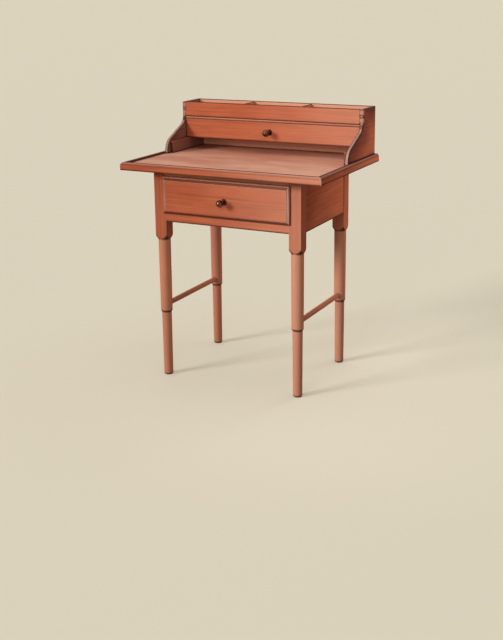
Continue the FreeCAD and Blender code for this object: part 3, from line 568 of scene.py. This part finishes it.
woodPlans = {
    "stainedWood": {
        "Pale": paint(200, 111, 75), "Deep": paint(144, 66, 42), "Blush": paint(185, 81, 60),
        "Rubbed And Lit": paint(190, 162, 148), "Grime": paint(60, 34, 28), "Washed And Lit": paint(232, 170, 140),
        "Ring Share": 0.26, "Streak Share": 0.34, "Mottle Share": 0.3, "Gloss": 0.52,
        "Painted Light Share": 0.4, "Wear And Highlight Share": 0.4, "Seam Share": 0.9,
    },
    "wornTop": {
        "Pale": paint(216, 162, 136), "Deep": paint(176, 110, 87), "Blush": paint(194, 114, 100),
        "Rubbed And Lit": paint(220, 176, 152), "Grime": paint(82, 38, 28), "Washed And Lit": paint(228, 180, 152),
        "Ring Share": 0.2, "Streak Share": 0.26, "Mottle Share": 0.5, "Gloss": 0.54, "Blush Share": 0.38,
    },
    "trayWood": {
        "Pale": paint(232, 166, 130), "Deep": paint(196, 118, 84), "Blush": paint(214, 140, 116),
        "Rubbed And Lit": paint(232, 186, 160), "Grime": paint(110, 50, 34), "Washed And Lit": paint(236, 190, 160),
        "Ring Share": 0.22, "Streak Share": 0.3, "Mottle Share": 0.25, "Gloss": 0.5,
    },
    "bareWood": {
        "Pale": paint(216, 180, 134), "Deep": paint(168, 122, 80), "Blush": paint(196, 150, 104),
        "Rubbed And Lit": paint(226, 200, 162), "Grime": paint(96, 62, 40), "Washed And Lit": paint(226, 196, 156),
        "Ring Share": 0.35, "Streak Share": 0.3, "Mottle Share": 0.25, "Gloss": 0.6,
    },
}


def newMaterial(name):
    material = bpy.data.materials.new(name)
    material.use_nodes = True
    tree = material.node_tree
    return material, tree, tree.nodes["Principled BSDF"]


def makeWood(name, plan, group, onNode=False):
    # Wood reads the grain that each piece carries. On a node of the frame, which carries
    # none, it reads the object's own coordinates with the grain along Y.
    material, tree, shader = newMaterial(name)
    at = tree.nodes.new("ShaderNodeTexCoord").outputs["Object"]
    finish = addNode(tree, "ShaderNodeGroup", {"At": at, **plan}, node_tree=group)
    if onNode:
        split = addNode(tree, "ShaderNodeSeparateXYZ", {0: at}).outputs
        turned = addNode(tree, "ShaderNodeCombineXYZ", {0: split[1], 1: split[0], 2: split[2]})
        feed(tree, finish.inputs, {"Grain": turned.outputs[0]})
    else:
        for mark, kind, socket in (
            ("grainAt", "Vector", "Grain"), ("boardTone", "Fac", "Tone"),
            ("worn", "Fac", "Worn"), ("thin", "Fac", "Thin"),
        ):
            carried = addNode(tree, "ShaderNodeAttribute", attribute_name=mark).outputs
            feed(tree, finish.inputs, {socket: carried[kind]})
    relief = addNode(tree, "ShaderNodeBump", {
        "Strength": finishPlan["relief"], "Distance": finishPlan["reliefDepth"],
        "Height": finish.outputs["Height"],
    })
    feed(tree, shader.inputs, {
        "Base Color": finish.outputs["Color"], "Roughness": finish.outputs["Roughness"],
        "Normal": relief.outputs[0], "Specular IOR Level": finishPlan["shine"],
    })
    return material


metalPlans = {
    "agedBrass": {
        "clean": paint(138, 98, 80), "stain": paint(52, 32, 26), "inCorners": True, "metal": 1.0,
        "spots": (((160, 160, 160), 4.0), (0.35, 0.68)), "gloss": 0.18, "stainGloss": 0.25,
    },
    "darkIron": {
        "clean": paint(84, 80, 78), "stain": paint(92, 58, 42), "inCorners": False, "metal": 0.85,
        "spots": (((300, 300, 300), 3.0), (0.4, 0.65)), "gloss": 0.45, "stainGloss": 0.3,
    },
}


def makeMetal(name, plan, wearAndShadeGroup):
    material, tree, shader = newMaterial(name)
    at = tree.nodes.new("ShaderNodeTexCoord").outputs["Object"]
    stain = patches(tree, at, *plan["spots"])
    if plan["inCorners"]:
        edges = addNode(tree, "ShaderNodeGroup", {"At": at}, node_tree=wearAndShadeGroup)
        stain = sums(tree, "MAXIMUM", stain, edges.outputs["Seam"])
    feed(tree, shader.inputs, {
        "Base Color": mixed(tree, stain, plan["clean"], plan["stain"]),
        "Roughness": sums(tree, "MULTIPLY_ADD", stain, plan["stainGloss"], plan["gloss"]),
        "Metallic": plan["metal"],
    })
    return material


wearAndShadeGroup = makeWearAndShade()
group = makeFinishGroup(makeFigure(), wearAndShadeGroup)
finishes = {name: makeWood(name, plan, group) for name, plan in woodPlans.items()}
finishes["frameWood"] = makeWood("frameWood", woodPlans["bareWood"], group, onNode=True)
for name, plan in metalPlans.items():
    finishes[name] = makeMetal(name, plan, wearAndShadeGroup)
print("finishes made:", ", ".join(finishes))


# Legs

legPlan = {
    "footRadius": 14.2 * mm, "footRound": 6 * mm,
    "stepHeight": 211 * mm, "lowerRadius": 15.3 * mm, "stepRound": 2.9 * mm,
    "upperRadius": 19 * mm, "ballRadius": 28.2 * mm, "ballHeight": 465.87 * mm,
    "arris": 0.9 * mm, "arrisSteps": 2, "roundSteps": 5, "ballSteps": 9, "around": 64,
    "hollowLean": -0.12, "shadeUnderFoot": -0.25, "shadeInHollow": -0.85, "arrisRubAndHighlight": 0.3,
    "shadeFrom": -0.3, "shadeTo": 0.3, "darkBehind": -0.42, "dirtBeside": -0.3, "shadeBefore": -0.1,
    "thinWhereTurned": 0.38,
}


def legRings(top):
    # A rounded foot, a rounded step and, under the square part, half a ball.
    plan = legPlan
    foot, step, ball = plan["footRound"], plan["stepRound"], plan["ballRadius"]
    hollow = 180 - math.degrees(math.asin(plan["upperRadius"] / ball))
    return (
        arc((foot, plan["footRadius"] - foot), foot, 180, 90, plan["roundSteps"])
        + arc((plan["stepHeight"] + step, plan["lowerRadius"]), step, 180, 90, plan["roundSteps"])
        + arc((plan["ballHeight"], 0), ball, hollow, 90, plan["ballSteps"])
        + [(top, ball)]
    )


def onLeg(face):
    # Pale corners on the square part, rubbed and painted as highlights; painted shade in the hollows
    # where the turning steps in and under the foot, and painted shade that deepens round the back of the
    # turned part. The front legs are painted darker as shade on their sides and, where the rim's shadow
    # falls, a little on the front.
    plan = legPlan
    lean = face.normal
    if lean.z < plan["hollowLean"]:
        return plan["shadeUnderFoot" if face.center.z < plan["footRound"] else "shadeInHollow"]
    if face.center.z < plan["ballHeight"]:
        share = (lean.y - plan["shadeFrom"]) / (plan["shadeTo"] - plan["shadeFrom"])
        return plan["darkBehind"] * min(1, max(0, share))
    if tilted < abs(lean.x) < flat:
        return plan["arrisRubAndHighlight"]
    if face.center.y > 0:
        return 0
    return plan["dirtBeside" if abs(lean.x) > tilted else "shadeBefore"]


def onTurning(face):
    # The stain is thinner on the round part.
    turned = face.center.z < legPlan["ballHeight"] - legPlan["upperRadius"]
    return legPlan["thinWhereTurned"] if turned else 0


def makeLeg(node):
    # A square post that keeps only what a turned blank of its length leaves of it.
    low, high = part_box(node)
    middle = ((low.x + high.x) / 2, (low.y + high.y) / 2, 0)
    blank = turnPiece(wordOf(node) + "Blank", middle, (0, 0, 1), legRings(high.z), legPlan["around"])
    leg = boardFor(node)
    bevelEdges(leg, edgesAt("Z"), legPlan["arris"], legPlan["arrisSteps"])
    finishWith(leg, "BOOLEAN", operation="INTERSECT", solver="EXACT", object=blank)
    discard(blank)
    settle(leg, node, "Z", worn=onLeg, thin=onTurning)


for end in ("front", "back"):
    for side in sides:
        makeLeg("leg_%s_%s" % (end, side))
print("legs made")


# Stretchers

stretcherPlan = {
    "endRadius": 6.5 * mm, "middleRadius": 8.25 * mm, "swell": 62 * mm, "steps": 6, "around": 40,
    "thin": 0.3,
}


def makeStretcher(node):
    # A round bar that swells gently between its tapered ends.
    low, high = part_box(node)
    plan = stretcherPlan
    rise = plan["middleRadius"] - plan["endRadius"]
    swell = []
    for step in range(plan["steps"] + 1):
        share = step / plan["steps"]
        swell.append((plan["swell"] * share, plan["endRadius"] + rise * math.sin(math.pi / 2 * share)))
    length = high.y - low.y
    rings = swell + [(length - along, radius) for along, radius in reversed(swell)]
    centre = ((low.x + high.x) / 2, low.y, (low.z + high.z) / 2)
    bar = turnPiece(wordOf(node), centre, (0, 1, 0), rings, plan["around"])
    settle(bar, node, "Y", worn=nowhere, thin=lambda face: plan["thin"])


for side in sides:
    makeStretcher("stretcher_" + side)
print("stretchers made")


# Aprons and rails

boardPlan = {
    "tenon": 22 * mm, "tenonThickness": 8 * mm, "apronShoulder": 12 * mm, "railShoulder": 3 * mm,
    "lowerEase": 2.4 * mm, "thinUnderRim": 0.6,
}


def makeTenoned(node, axis, shoulder, thin=nowhere):
    # The board between the legs, with its lower corners eased, then its tenons.
    plan = boardPlan
    low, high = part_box(node)
    low[axisNumber[axis]] += plan["tenon"]
    high[axisNumber[axis]] -= plan["tenon"]
    board = addBoard(wordOf(node), low, high)
    bevelEdges(board, edgesAt(axis, z=low.z), plan["lowerEase"])
    addTenons(board, axis, plan["tenon"], plan["tenonThickness"], plan[shoulder])
    settle(board, node, axis, thin=thin)


makeTenoned("apron_left", "Y", "apronShoulder")
makeTenoned("apron_right", "Y", "apronShoulder")
makeTenoned("apron_back", "X", "apronShoulder")
makeTenoned("lower_front_rail", "X", "railShoulder")
# The upper front rail is painted paler with thin stain, as light in the shade under the rim.
makeTenoned("upper_front_rail", "X", "railShoulder", lambda face: boardPlan["thinUnderRim"])
print("aprons and rails made")


# Top and rim

topPlan = {"ease": 0.4 * mm, "easeSteps": 2, "darkBehind": -0.45}
rimPlan = {
    "round": 7 * mm, "ledge": 1.2 * mm, "underEase": 1.5 * mm, "innerEase": 0.8 * mm, "steps": 8,
    "easeSteps": 3, "sideTo": 0.08, "sideShare": 0.6, "paleFrom": 0.55, "rub": 0.4,
    "dirtInside": -0.7, "shadeOnTop": -0.95, "shadeOnLedge": -0.35, "shadeBelow": -0.2,
}


def onTop(face):
    # The back edge is as dark as the boards round it.
    return topPlan["darkBehind"] if face.normal.y > square else onEdges(face)


def rimOutline(inner, outer, low, high):
    # Section of the rim, from its inner foot round by the outside to its inner top corner.
    plan = rimPlan
    way = 1 if outer > inner else -1
    under, ease, curve = plan["underEase"], plan["innerEase"], plan["round"]
    shelf = high - curve
    crest = outer - way * (plan["ledge"] + curve)
    points = [(0, low)]
    reach = abs(outer - inner)
    points += arc((reach - under, low + under), under, -90, 0, plan["easeSteps"])
    points += [(reach, shelf)]
    points += arc((abs(crest - inner), shelf), curve, 0, 90, plan["steps"])
    points += arc((ease, high - ease), ease, 90, 180, plan["easeSteps"])
    return [(inner + way * across, up) for across, up in points]


def onRim(face):
    # The rim is painted dark as shade inside, on its flat top, on its ledge and under its round, and
    # pale along its rounded corner, rubbed and painted as a highlight; its outer faces take the edge
    # marks, weaker.
    plan = rimPlan
    lean = face.normal.z
    if face.normal.y > square or looksInward(face):
        return plan["dirtInside"]
    if lean < plan["sideTo"]:
        return plan["sideShare"] * onEdges(face)
    if lean > flat:
        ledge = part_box("rim_front")[1].z - plan["ledge"]
        return plan["shadeOnTop" if face.center.z > ledge else "shadeOnLedge"]
    return plan["rub" if lean > plan["paleFrom"] else "shadeBelow"]


def mitre(piece, sign, behind):
    # Trims a rim on the diagonal of a front corner.
    openPiece(piece)
    bpy.ops.mesh.bisect(
        plane_co=(sign * cadHigh.x, cadLow.y, 0),
        plane_no=(sign, 1, 0),
        use_fill=True,
        clear_outer=not behind,
        clear_inner=behind,
    )
    closePiece()


def makeRims():
    low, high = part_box("rim_front")
    front = cutOut("rimFront", rimOutline(high.y, low.y, low.z, high.z), "X", low.x, high.x)
    for sign in sides.values():
        mitre(front, sign, False)
    settle(front, "rim_front", "X", worn=onRim)
    for side, sign in sides.items():
        node = "rim_" + side
        low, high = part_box(node)
        inner, outer = (low.x, high.x) if sign > 0 else (high.x, low.x)
        rim = cutOut(wordOf(node), rimOutline(inner, outer, low.z, high.z), "Y", low.y, high.y)
        mitre(rim, sign, True)
        settle(rim, node, "Y", worn=onRim)


# The top's finish is paler than the rest, for rubbing and as painted light, and it is painted darker
# towards the back, as shade under the gallery.
top = boardFor("top_board")
softenEdges(top, topPlan["ease"], topPlan["easeSteps"])
settle(top, "top_board", "X", "wornTop", worn=onTop, shade=fromFront(-grainPlan["unlit"]))
makeRims()
print("top and rim made")


# Dovetails

tailPlan = {"neckShare": 0.6, "slopeShare": 0.16}


def tails(root, tip, low, high, count):
    # Corners of a row of tails that stand from root to tip, between two heights.
    pitch = (high - low) / count
    neck = pitch * tailPlan["neckShare"]
    flare = abs(tip - root) * tailPlan["slopeShare"]
    corners = []
    for number in range(count):
        middle = low + pitch * (number + 0.5)
        corners += [
            (root, middle - neck / 2), (tip, middle - neck / 2 - flare),
            (tip, middle + neck / 2 + flare), (root, middle + neck / 2),
        ]
    return corners


# Gallery

galleryPlan = {
    "hollowRadius": 33 * mm, "roundRadius": 45 * mm, "roundHeight": 7 * mm, "startDrop": 42 * mm,
    "curveSteps": 14, "ease": 2 * mm, "easeFrom": 1.75 * mm, "tails": 2, "scribed": 1.4 * mm,
    "slice": 14 * mm, "nearTone": 1.15, "farTone": -0.35, "fade": 80 * mm,
    "cleatRound": 5 * mm, "cleatSteps": 6, "cleatEase": 0.4 * mm,
    "boardEase": 0.8 * mm, "frontEase": 1.6 * mm, "topEase": 1.8 * mm, "longEdge": 84 * mm,
    "flatFrom": 0.99, "dirtInside": -0.6, "dirtOutside": -0.06, "shadeOnEase": -0.9,
    "sawnRubAndHighlight": 0.55, "sawnShade": -0.45, "rubTo": 95 * mm, "cleatTop": -0.1, "cleatDirt": -0.65,
    "floorDirt": -0.25, "ridgeDark": -0.75, "endGrainHighlight": 0.35, "scribedLine": -0.7,
    "thinAndLitWithin": 0.9, "shadeTintInward": 0.8,
}


def sideOutline(front, rear, upright, low, high):
    # Upright behind the tray, then a hollow, a slope and a round, down to the top.
    plan = galleryPlan
    hollow = Vector((upright - plan["hollowRadius"], high - plan["startDrop"]))
    swell = Vector((front + plan["roundRadius"], low + plan["roundHeight"]))
    gap = swell - hollow
    reach = plan["hollowRadius"] + plan["roundRadius"]
    turn = math.degrees(math.atan2(gap.y, gap.x) + math.acos(reach / gap.length))
    return (
        [(front, low), (rear, low), (rear, high), (upright, high)]
        + arc(hollow, plan["hollowRadius"], 0, turn, plan["curveSteps"])
        + arc(swell, plan["roundRadius"], turn + 180, 180, plan["curveSteps"])
    )


def darkAlong(line, place):
    # Painted shade: dark along a line of points across X, and paler with the distance from it.
    plan = galleryPlan
    spot = Vector((place.y, place.z))
    distance = plan["fade"]
    for here, there in zip(line, line[1:]):
        run = there - here
        share = min(1, max(0, (spot - here).dot(run) / run.dot(run)))
        distance = min(distance, (here + run * share - spot).length)
    return plan["nearTone"] + (plan["farTone"] - plan["nearTone"]) * distance / plan["fade"]


def onSaw(face):
    # The sawn edge of a gallery side is pale, rubbed and painted as a highlight, at its foot and beside
    # the tray, and painted dark as shade between them; its eased corners and the faces that look to the
    # middle are painted as shade, and its other faces are a little darker.
    plan = galleryPlan
    lean = face.normal
    if looksInward(face):
        return plan["dirtInside"]
    if lean.y > steep or lean.z < -square or abs(lean.x) > plan["flatFrom"]:
        return plan["dirtOutside"]
    if abs(lean.x) >= tilted:
        return plan["shadeOnEase"]
    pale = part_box("gallery_side_right")[0].z + plan["rubTo"]
    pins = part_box("tray_front")[0].z
    return plan["sawnShade" if pale < face.center.z < pins else "sawnRubAndHighlight"]


def onCleat(face):
    # Painted dark as shade, less on its top corners.
    return galleryPlan["cleatTop" if face.normal.z > tilted else "cleatDirt"]


def onFloor(face):
    # The front edge of the tray floor is painted a little darker above the drawer, as shade in the gap.
    return galleryPlan["floorDirt"] if face.normal.y < -tilted else onEdges(face)


def onRidge(face):
    # The top edge of a tray board is darker.
    return galleryPlan["ridgeDark"] if face.normal.z > tilted else onEdges(face)


def onTails(face):
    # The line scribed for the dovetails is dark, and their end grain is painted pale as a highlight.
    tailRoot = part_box("gallery_side_right")[0].x
    away = abs(face.center.x)
    if face.normal.y > -square or away < tailRoot - galleryPlan["scribed"]:
        return onRidge(face)
    return galleryPlan["endGrainHighlight" if away > tailRoot else "scribedLine"]


def thinAndLitFaces(way):
    # The stain is thin in the tray; below the drawer the back, which lies in shade, is painted paler
    # with thin stain, as light.
    floor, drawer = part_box("tray_floor")[1].z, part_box("small_drawer_front")[0].z
    return lambda face: galleryPlan["thinAndLitWithin"] if (
        face.normal.y * way > square and not drawer <= face.center.z <= floor) else 0


def shadeTint(face):
    # The faces that look to the middle of the desk are painted paler and greyer with thin stain, as the
    # colour of their shade.
    return galleryPlan["shadeTintInward"] if looksInward(face) else 0


def makeGallerySide(side, housed):
    # A board sawn to an S, housed for the tray and the back. Cuts across and along let its painted shade
    # change over the flat faces.
    plan = galleryPlan
    node = "gallery_side_" + side
    low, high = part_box(node)
    outline = sideOutline(low.y, high.y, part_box("tray_front")[0].y, low.z, high.z)
    board = cutOut(wordOf(node), outline, "X", low.x, high.x)
    foot = low.z + plan["easeFrom"]
    bevelEdges(board, lambda edge: not runsAlong(edge, "X") and middleOf(edge).z > foot
               and not near(middleOf(edge).y, high.y), plan["ease"])
    cutBy(board, housed)
    for axis in "YZ":
        start, stop = low[axisNumber[axis]], high[axisNumber[axis]]
        count = round((stop - start) / plan["slice"])
        scoreAcross(board, axis, [start + (stop - start) * step / count for step in range(1, count)])
    sawn = [Vector(corner) for corner in outline[2:]]
    settle(board, node, "Y", worn=onSaw, thin=shadeTint,
           shade=lambda place, *box: darkAlong(sawn, place))


def makeCleat(side):
    plan = galleryPlan
    node = "cleat_" + side
    low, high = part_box(node)
    cleat = boardFor(node)
    bevelEdges(cleat, edgesAt("X", y=low.y, z=high.z), plan["cleatRound"], plan["cleatSteps"])
    softenEdges(cleat, plan["cleatEase"])
    settle(cleat, node, "Y", worn=onCleat, thin=shadeTint)


def makeDivider(side, front):
    # A board across the tray, housed in its front.
    node = "tray_divider_" + side
    divider = boardFor(node)
    cutBy(front, [divider])
    bevelEdges(divider, edgesAt("Y", z=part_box(node)[1].z), galleryPlan["topEase"])
    settle(divider, node, "Y", "trayWood", worn=onRidge)


def makeTrayFront(innerX):
    # A board with dovetails at both ends.
    low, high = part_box("tray_front")
    right = tails(innerX, high.x, low.z, high.z, galleryPlan["tails"])
    outline = [(-innerX, low.z), (innerX, low.z)] + right + [(innerX, high.z), (-innerX, high.z)]
    outline += [(-x, z) for x, z in reversed(right)]
    return cutOut("trayFront", outline, "Y", low.y, high.y)


def makeGallery():
    plan = galleryPlan
    frontLow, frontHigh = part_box("tray_front")
    floorLow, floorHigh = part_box("tray_floor")
    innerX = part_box("gallery_side_right")[0].x
    front = makeTrayFront(innerX)
    floor = boardFor("tray_floor")
    back = boardFor("gallery_back")
    for side in sides:
        makeGallerySide(side, [front, floor, back])
        makeCleat(side)
        makeDivider(side, front)
    alongTop = edgesAt("X", z=frontHigh.z)
    for board in (front, back):
        bevelEdges(board, lambda edge: alongTop(edge) and edge.calc_length() > plan["longEdge"],
                   plan["topEase"])
    bevelEdges(front, edgesAt("X", y=frontLow.y, z=frontLow.z), plan["frontEase"])
    bevelEdges(floor, edgesAt("X", y=floorLow.y), plan["boardEase"])
    scoreAcross(back, "Z", (floorHigh.z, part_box("small_drawer_front")[0].z))
    scribed = innerX - plan["scribed"]
    scoreAcross(front, "X", (-innerX, -scribed, scribed, innerX))
    settle(front, "tray_front", "X", worn=onTails, thin=thinAndLitFaces(1))
    settle(back, "gallery_back", "X", worn=onRidge, thin=thinAndLitFaces(-1))
    settle(floor, "tray_floor", "X", "trayWood", worn=onFloor)


makeGallery()
print("gallery made")


# Drawers

drawerPlans = {
    "main_drawer": {
        "tails": 3, "steps": 6, "lip": 7 * mm, "lipRound": 5.2 * mm, "lipSide": 7 * mm, "lipTop": 6 * mm,
        "besideField": 8.5 * mm, "overField": 11 * mm, "underField": 6 * mm, "fieldRise": 1.3 * mm,
        "fieldEase": 1 * mm, "fieldSteps": 2, "border": 1 * mm, "borderLow": 0.1 * mm,
        "borderRubAndHighlight": 0.5, "borderShade": -0.2, "hollowRubAndHighlight": 0.25, "hollowShade": -0.55,
        "endFrom": 0.85, "endShade": -0.85, "underShade": -0.55, "besideRub": 0.3, "lipRubAndHighlight": 0.1,
        "litOnTop": 0.8,
    },
    "small_drawer": {"tails": 2, "ease": 1 * mm},
}
knobPlan = {
    "baseRadius": 9.5 * mm, "baseThickness": 2.4 * mm, "collarRadius": 7 * mm, "neckRadius": 5.2 * mm,
    "neckAt": 11 * mm, "neckSteps": 5, "ballRadius": 11 * mm, "ballAt": 26 * mm, "ballSteps": 16,
    "poleShare": 0.05, "around": 48, "edge": 0.7 * mm,
}


def lippedFront(node, plan):
    # A block that fills the opening, a lip round it with rounded edges, and a raised field.
    low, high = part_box(node)
    face = low.y + plan["fieldRise"]
    rear = face + plan["lip"]
    block = addBoard(wordOf(node), (low.x + plan["lipSide"], rear, low.z),
                     (high.x - plan["lipSide"], high.y, high.z - plan["lipTop"]))
    lip = addBoard(wordOf(node) + "Lip", (low.x, face, low.z), (high.x, rear, high.z))
    bevelEdges(lip, edgesAt(y=face), plan["lipRound"], plan["steps"])
    openPiece(lip)
    pick(lip, "FACE", facesAt("Y", face))
    bpy.ops.mesh.inset(thickness=plan["besideField"] - plan["lipRound"], depth=0)
    for margin, edge, way in ((plan["overField"], high.z, 1), (plan["underField"], low.z, -1)):
        spot = edge - way * plan["besideField"]
        pick(lip, "VERT", lambda corner: near(corner.co.z, spot) and near(corner.co.y, face))
        bpy.ops.transform.translate(value=(0, 0, way * (plan["besideField"] - margin)))
    inFace = facesAt("Y", face)
    pick(lip, "FACE", lambda part: inFace(part) and part.calc_area() > (high.z - low.z) ** 2)
    extrude((0, -plan["fieldRise"], 0))
    closePiece()
    bevelEdges(lip, edgesAt(y=low.y), plan["fieldEase"], plan["fieldSteps"])
    openPiece(lip)
    pick(lip, "FACE", facesAt("Y", low.y))
    bpy.ops.mesh.inset(thickness=plan["border"], depth=0)
    closePiece()
    finishWith(block, "BOOLEAN", operation="UNION", solver="EXACT", object=lip)
    discard(lip)
    return block


def onLip(face):
    # A pale border round the raised field, rubbed and painted as a highlight, with its lower side
    # painted as shade; a hollow outside it, painted as shade above and below and pale at the sides; and
    # the lip, painted as shade at its outer ends and underneath and pale elsewhere, rubbed and painted
    # as highlights.
    plan = drawerPlans["main_drawer"]
    low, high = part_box("main_drawer_front")
    shoulder = low.y + plan["fieldRise"]
    if face.area > (high.z - low.z) ** 2 or face.center.y > shoulder + plan["lip"]:
        return 0
    if face.center.y < shoulder - plan["borderLow"]:
        return plan["borderShade" if face.center.z < low.z + plan["overField"] else "borderRubAndHighlight"]
    beside = abs(face.center.x) > high.x - plan["besideField"]
    if abs(face.normal.y) > flat:
        return plan["hollowRubAndHighlight" if beside else "hollowShade"]
    if abs(face.normal.x) > plan["endFrom"]:
        return plan["endShade"]
    if face.normal.z < -tilted:
        return plan["underShade"]
    return plan["besideRub" if beside else "lipRubAndHighlight"]


def litOnLip(face):
    # The top of the lip, where the rim's shadow falls, is painted paler with thin stain, as light.
    plan = drawerPlans["main_drawer"]
    top = face.center.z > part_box("main_drawer_front")[1].z - plan["overField"]
    lean = -face.normal.y
    return plan["litOnTop"] if top and tilted < lean < flat else 0


def makeKnob(node, face):
    # A base, a hollow neck and a ball, turned in one piece.
    plan = knobPlan
    low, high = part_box(node)
    base, neck, ball = plan["baseThickness"], plan["neckRadius"], plan["ballRadius"]
    wide, edge, collar = plan["baseRadius"], plan["edge"], plan["collarRadius"]
    rings = [(0, wide), (base - edge, wide), (base, wide - edge), (base, collar)]
    for step in range(1, plan["neckSteps"] + 1):
        share = step / plan["neckSteps"]
        rings.append((base + (plan["neckAt"] - base) * share, neck + (collar - neck) * (1 - share) ** 2))
    start = 180 - math.degrees(math.asin(neck / ball))
    rings += arc((plan["ballAt"], 0), ball, start, 0, plan["ballSteps"])[:-1]
    rings.append((plan["ballAt"] + ball, ball * plan["poleShare"]))
    centre = ((low.x + high.x) / 2, face, (low.z + high.z) / 2)
    return turnPiece(wordOf(node), centre, (0, -1, 0), rings, plan["around"], poled=True)


def makeDrawer(body):
    # Dovetailed sides and back round a bottom, behind a front with a knob.
    plan = drawerPlans[body]
    lipped = "lip" in plan
    panel = boardFor(body + "_bottom")
    front = lippedFront(body + "_front", plan) if lipped else boardFor(body + "_front")
    back = boardFor(body + "_back")
    lowFront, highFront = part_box(body + "_front")
    backLow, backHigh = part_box(body + "_back")
    pair = {}
    for side in sides:
        node = "%s_side_%s" % (body, side)
        low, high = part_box(node)
        inner, rear = highFront.y, high.y - (backHigh.y - backLow.y)
        outline = [(inner, low.z), (rear, low.z)]
        outline += tails(rear, high.y, backLow.z, high.z, plan["tails"])
        outline += [(rear, high.z), (inner, high.z)]
        outline += reversed(tails(inner, low.y, low.z, high.z, plan["tails"]))
        pair[node] = cutOut(wordOf(node), outline, "X", low.x, high.x)
        cutBy(pair[node], [panel])
    cutBy(back, pair.values())
    cutBy(front, [*pair.values(), panel])
    if not lipped:
        bevelEdges(front, edgesAt(y=lowFront.y), plan["ease"])
    settle(front, body + "_front", "X", body=body,
           worn=onLip if lipped else onEdges, thin=litOnLip if lipped else nowhere)
    for node, board in pair.items():
        settle(board, node, "Y", "bareWood", body)
    settle(back, body + "_back", "X", "bareWood", body)
    settle(panel, body + "_bottom", "X", "bareWood", body)
    knob = makeKnob(body + "_knob", lowFront.y)
    settle(knob, body + "_knob", "Y", "agedBrass", body)


for body in drawerPlans:
    makeDrawer(body)
print("drawers made")


# Pieces of the frame that keep their own shape

for node, piece in frame["nodes"].items():
    finish = {"iron": "darkIron", "bare_wood": "frameWood"}.get(slotOf[node])
    if finish:
        piece.data.materials.clear()
        piece.data.materials.append(finishes[finish])


# Floor, light and camera

stagePlan = {
    "floorSeen": paint(206, 198, 178), "backSeen": paint(217, 209, 188), "glow": 0.28,
    "bounce": (0.24, 0.2, 0.15, 1), "floorSize": 500, "floorRough": 0.9, "floorShine": 0.1,
}
fillPlan = {"strength": 0.28, "colour": (1, 0.98, 0.95, 1)}
lampPlans = {  # kind, place, what it faces and settings
    "key": ("SUN", (-0.54, -0.74, 0.35), (0, 0, 0), {"energy": 2.05, "angle": math.radians(17)}),
    "above": ("SUN", (0.05, 0.1, 1), (0, 0, 0), {"energy": 0.95, "angle": math.radians(80)}),
    "behind": ("AREA", (0.62, 0.78, 0.5), (0.28, 0.2, 0.56),
               {"energy": 1.25, "size": 0.4, "size_y": 0.5, "color": (1, 0.86, 0.76)}),
    "before": ("AREA", (0.26, -1.05, 1.0), (0.25, -0.2, 0.6),
               {"energy": 1, "size": 0.4, "size_y": 0.4, "color": (1, 0.96, 0.92)}),
}
softBoxPlan = {"shape": "RECTANGLE", "spread": math.radians(100)}
cameraPlan = {
    "place": (1.42892, -2.81806, 1.19729), "yaw": 26.951, "pitch": 14.153, "roll": -0.648,
    "lens": 58.393, "shift": -0.1125,
}


def seenRays(tree):
    # 1 for what the camera sees, straight or in a shiny or clear surface.
    rays = tree.nodes.new("ShaderNodeLightPath").outputs
    return sums(tree, "MAXIMUM", rays["Is Camera Ray"], sums(
        tree, "MAXIMUM", rays["Is Glossy Ray"], rays["Is Transmission Ray"]))


def makeStage():
    plan = stagePlan
    deselect()
    bpy.ops.mesh.primitive_plane_add(size=plan["floorSize"])
    floor = named("floor")
    material, tree, shader = newMaterial("paleFloor")
    feed(tree, shader.inputs, {
        "Base Color": mixed(tree, seenRays(tree), plan["bounce"], plan["floorSeen"]),
        "Roughness": plan["floorRough"], "Specular IOR Level": plan["floorShine"],
        "Emission Color": plan["backSeen"],
        "Emission Strength": times(tree, seenRays(tree), plan["glow"]),
    })
    floor.data.materials.append(material)


def makeWorld():
    world = bpy.data.worlds.new("studio")
    world.use_nodes = True
    bpy.context.scene.world = world
    tree = world.node_tree
    plain = tree.nodes["Background"]
    feed(tree, plain.inputs, {"Color": fillPlan["colour"], "Strength": fillPlan["strength"]})
    shown = addNode(tree, "ShaderNodeBackground", {"Color": stagePlan["backSeen"]})
    both = addNode(tree, "ShaderNodeMixShader", {
        0: seenRays(tree), 1: plain.outputs[0], 2: shown.outputs[0],
    })
    feed(tree, tree.nodes["World Output"].inputs, {"Surface": both.outputs[0]})


def makeLamp(name, kind, place, faced, settings):
    bpy.ops.object.light_add(type=kind, location=place)
    lamp = bpy.context.object
    lamp.name = name
    lamp.rotation_euler = (Vector(place) - Vector(faced)).to_track_quat("Z", "Y").to_euler()
    adjust(lamp.data, settings)
    if kind == "AREA":
        adjust(lamp.data, softBoxPlan)
        adjust(lamp, {"visible_camera": False, "visible_glossy": False})


def makeCamera():
    plan = cameraPlan
    bpy.ops.object.camera_add(location=plan["place"])
    camera = bpy.context.object
    camera.name = "photographView"
    yaw, pitch, roll = (math.radians(plan[key]) for key in ("yaw", "pitch", "roll"))
    ahead = Vector((-math.sin(yaw) * math.cos(pitch), math.cos(yaw) * math.cos(pitch), -math.sin(pitch)))
    level = Vector((math.cos(yaw), math.sin(yaw), 0))
    up = level.cross(ahead)
    right = level * math.cos(roll) + up * math.sin(roll)
    up = up * math.cos(roll) - level * math.sin(roll)
    camera.rotation_euler = Matrix((right, up, -ahead)).transposed().to_euler()
    camera.data.lens = plan["lens"]
    camera.data.shift_y = plan["shift"]
    bpy.context.scene.camera = camera


makeStage()
makeWorld()
for name, plan in lampPlans.items():
    makeLamp(name, *plan)
makeCamera()
bpy.context.scene.view_settings.view_transform = "Standard"
print("stage, light and camera made;", len(madePieces), "pieces in all")
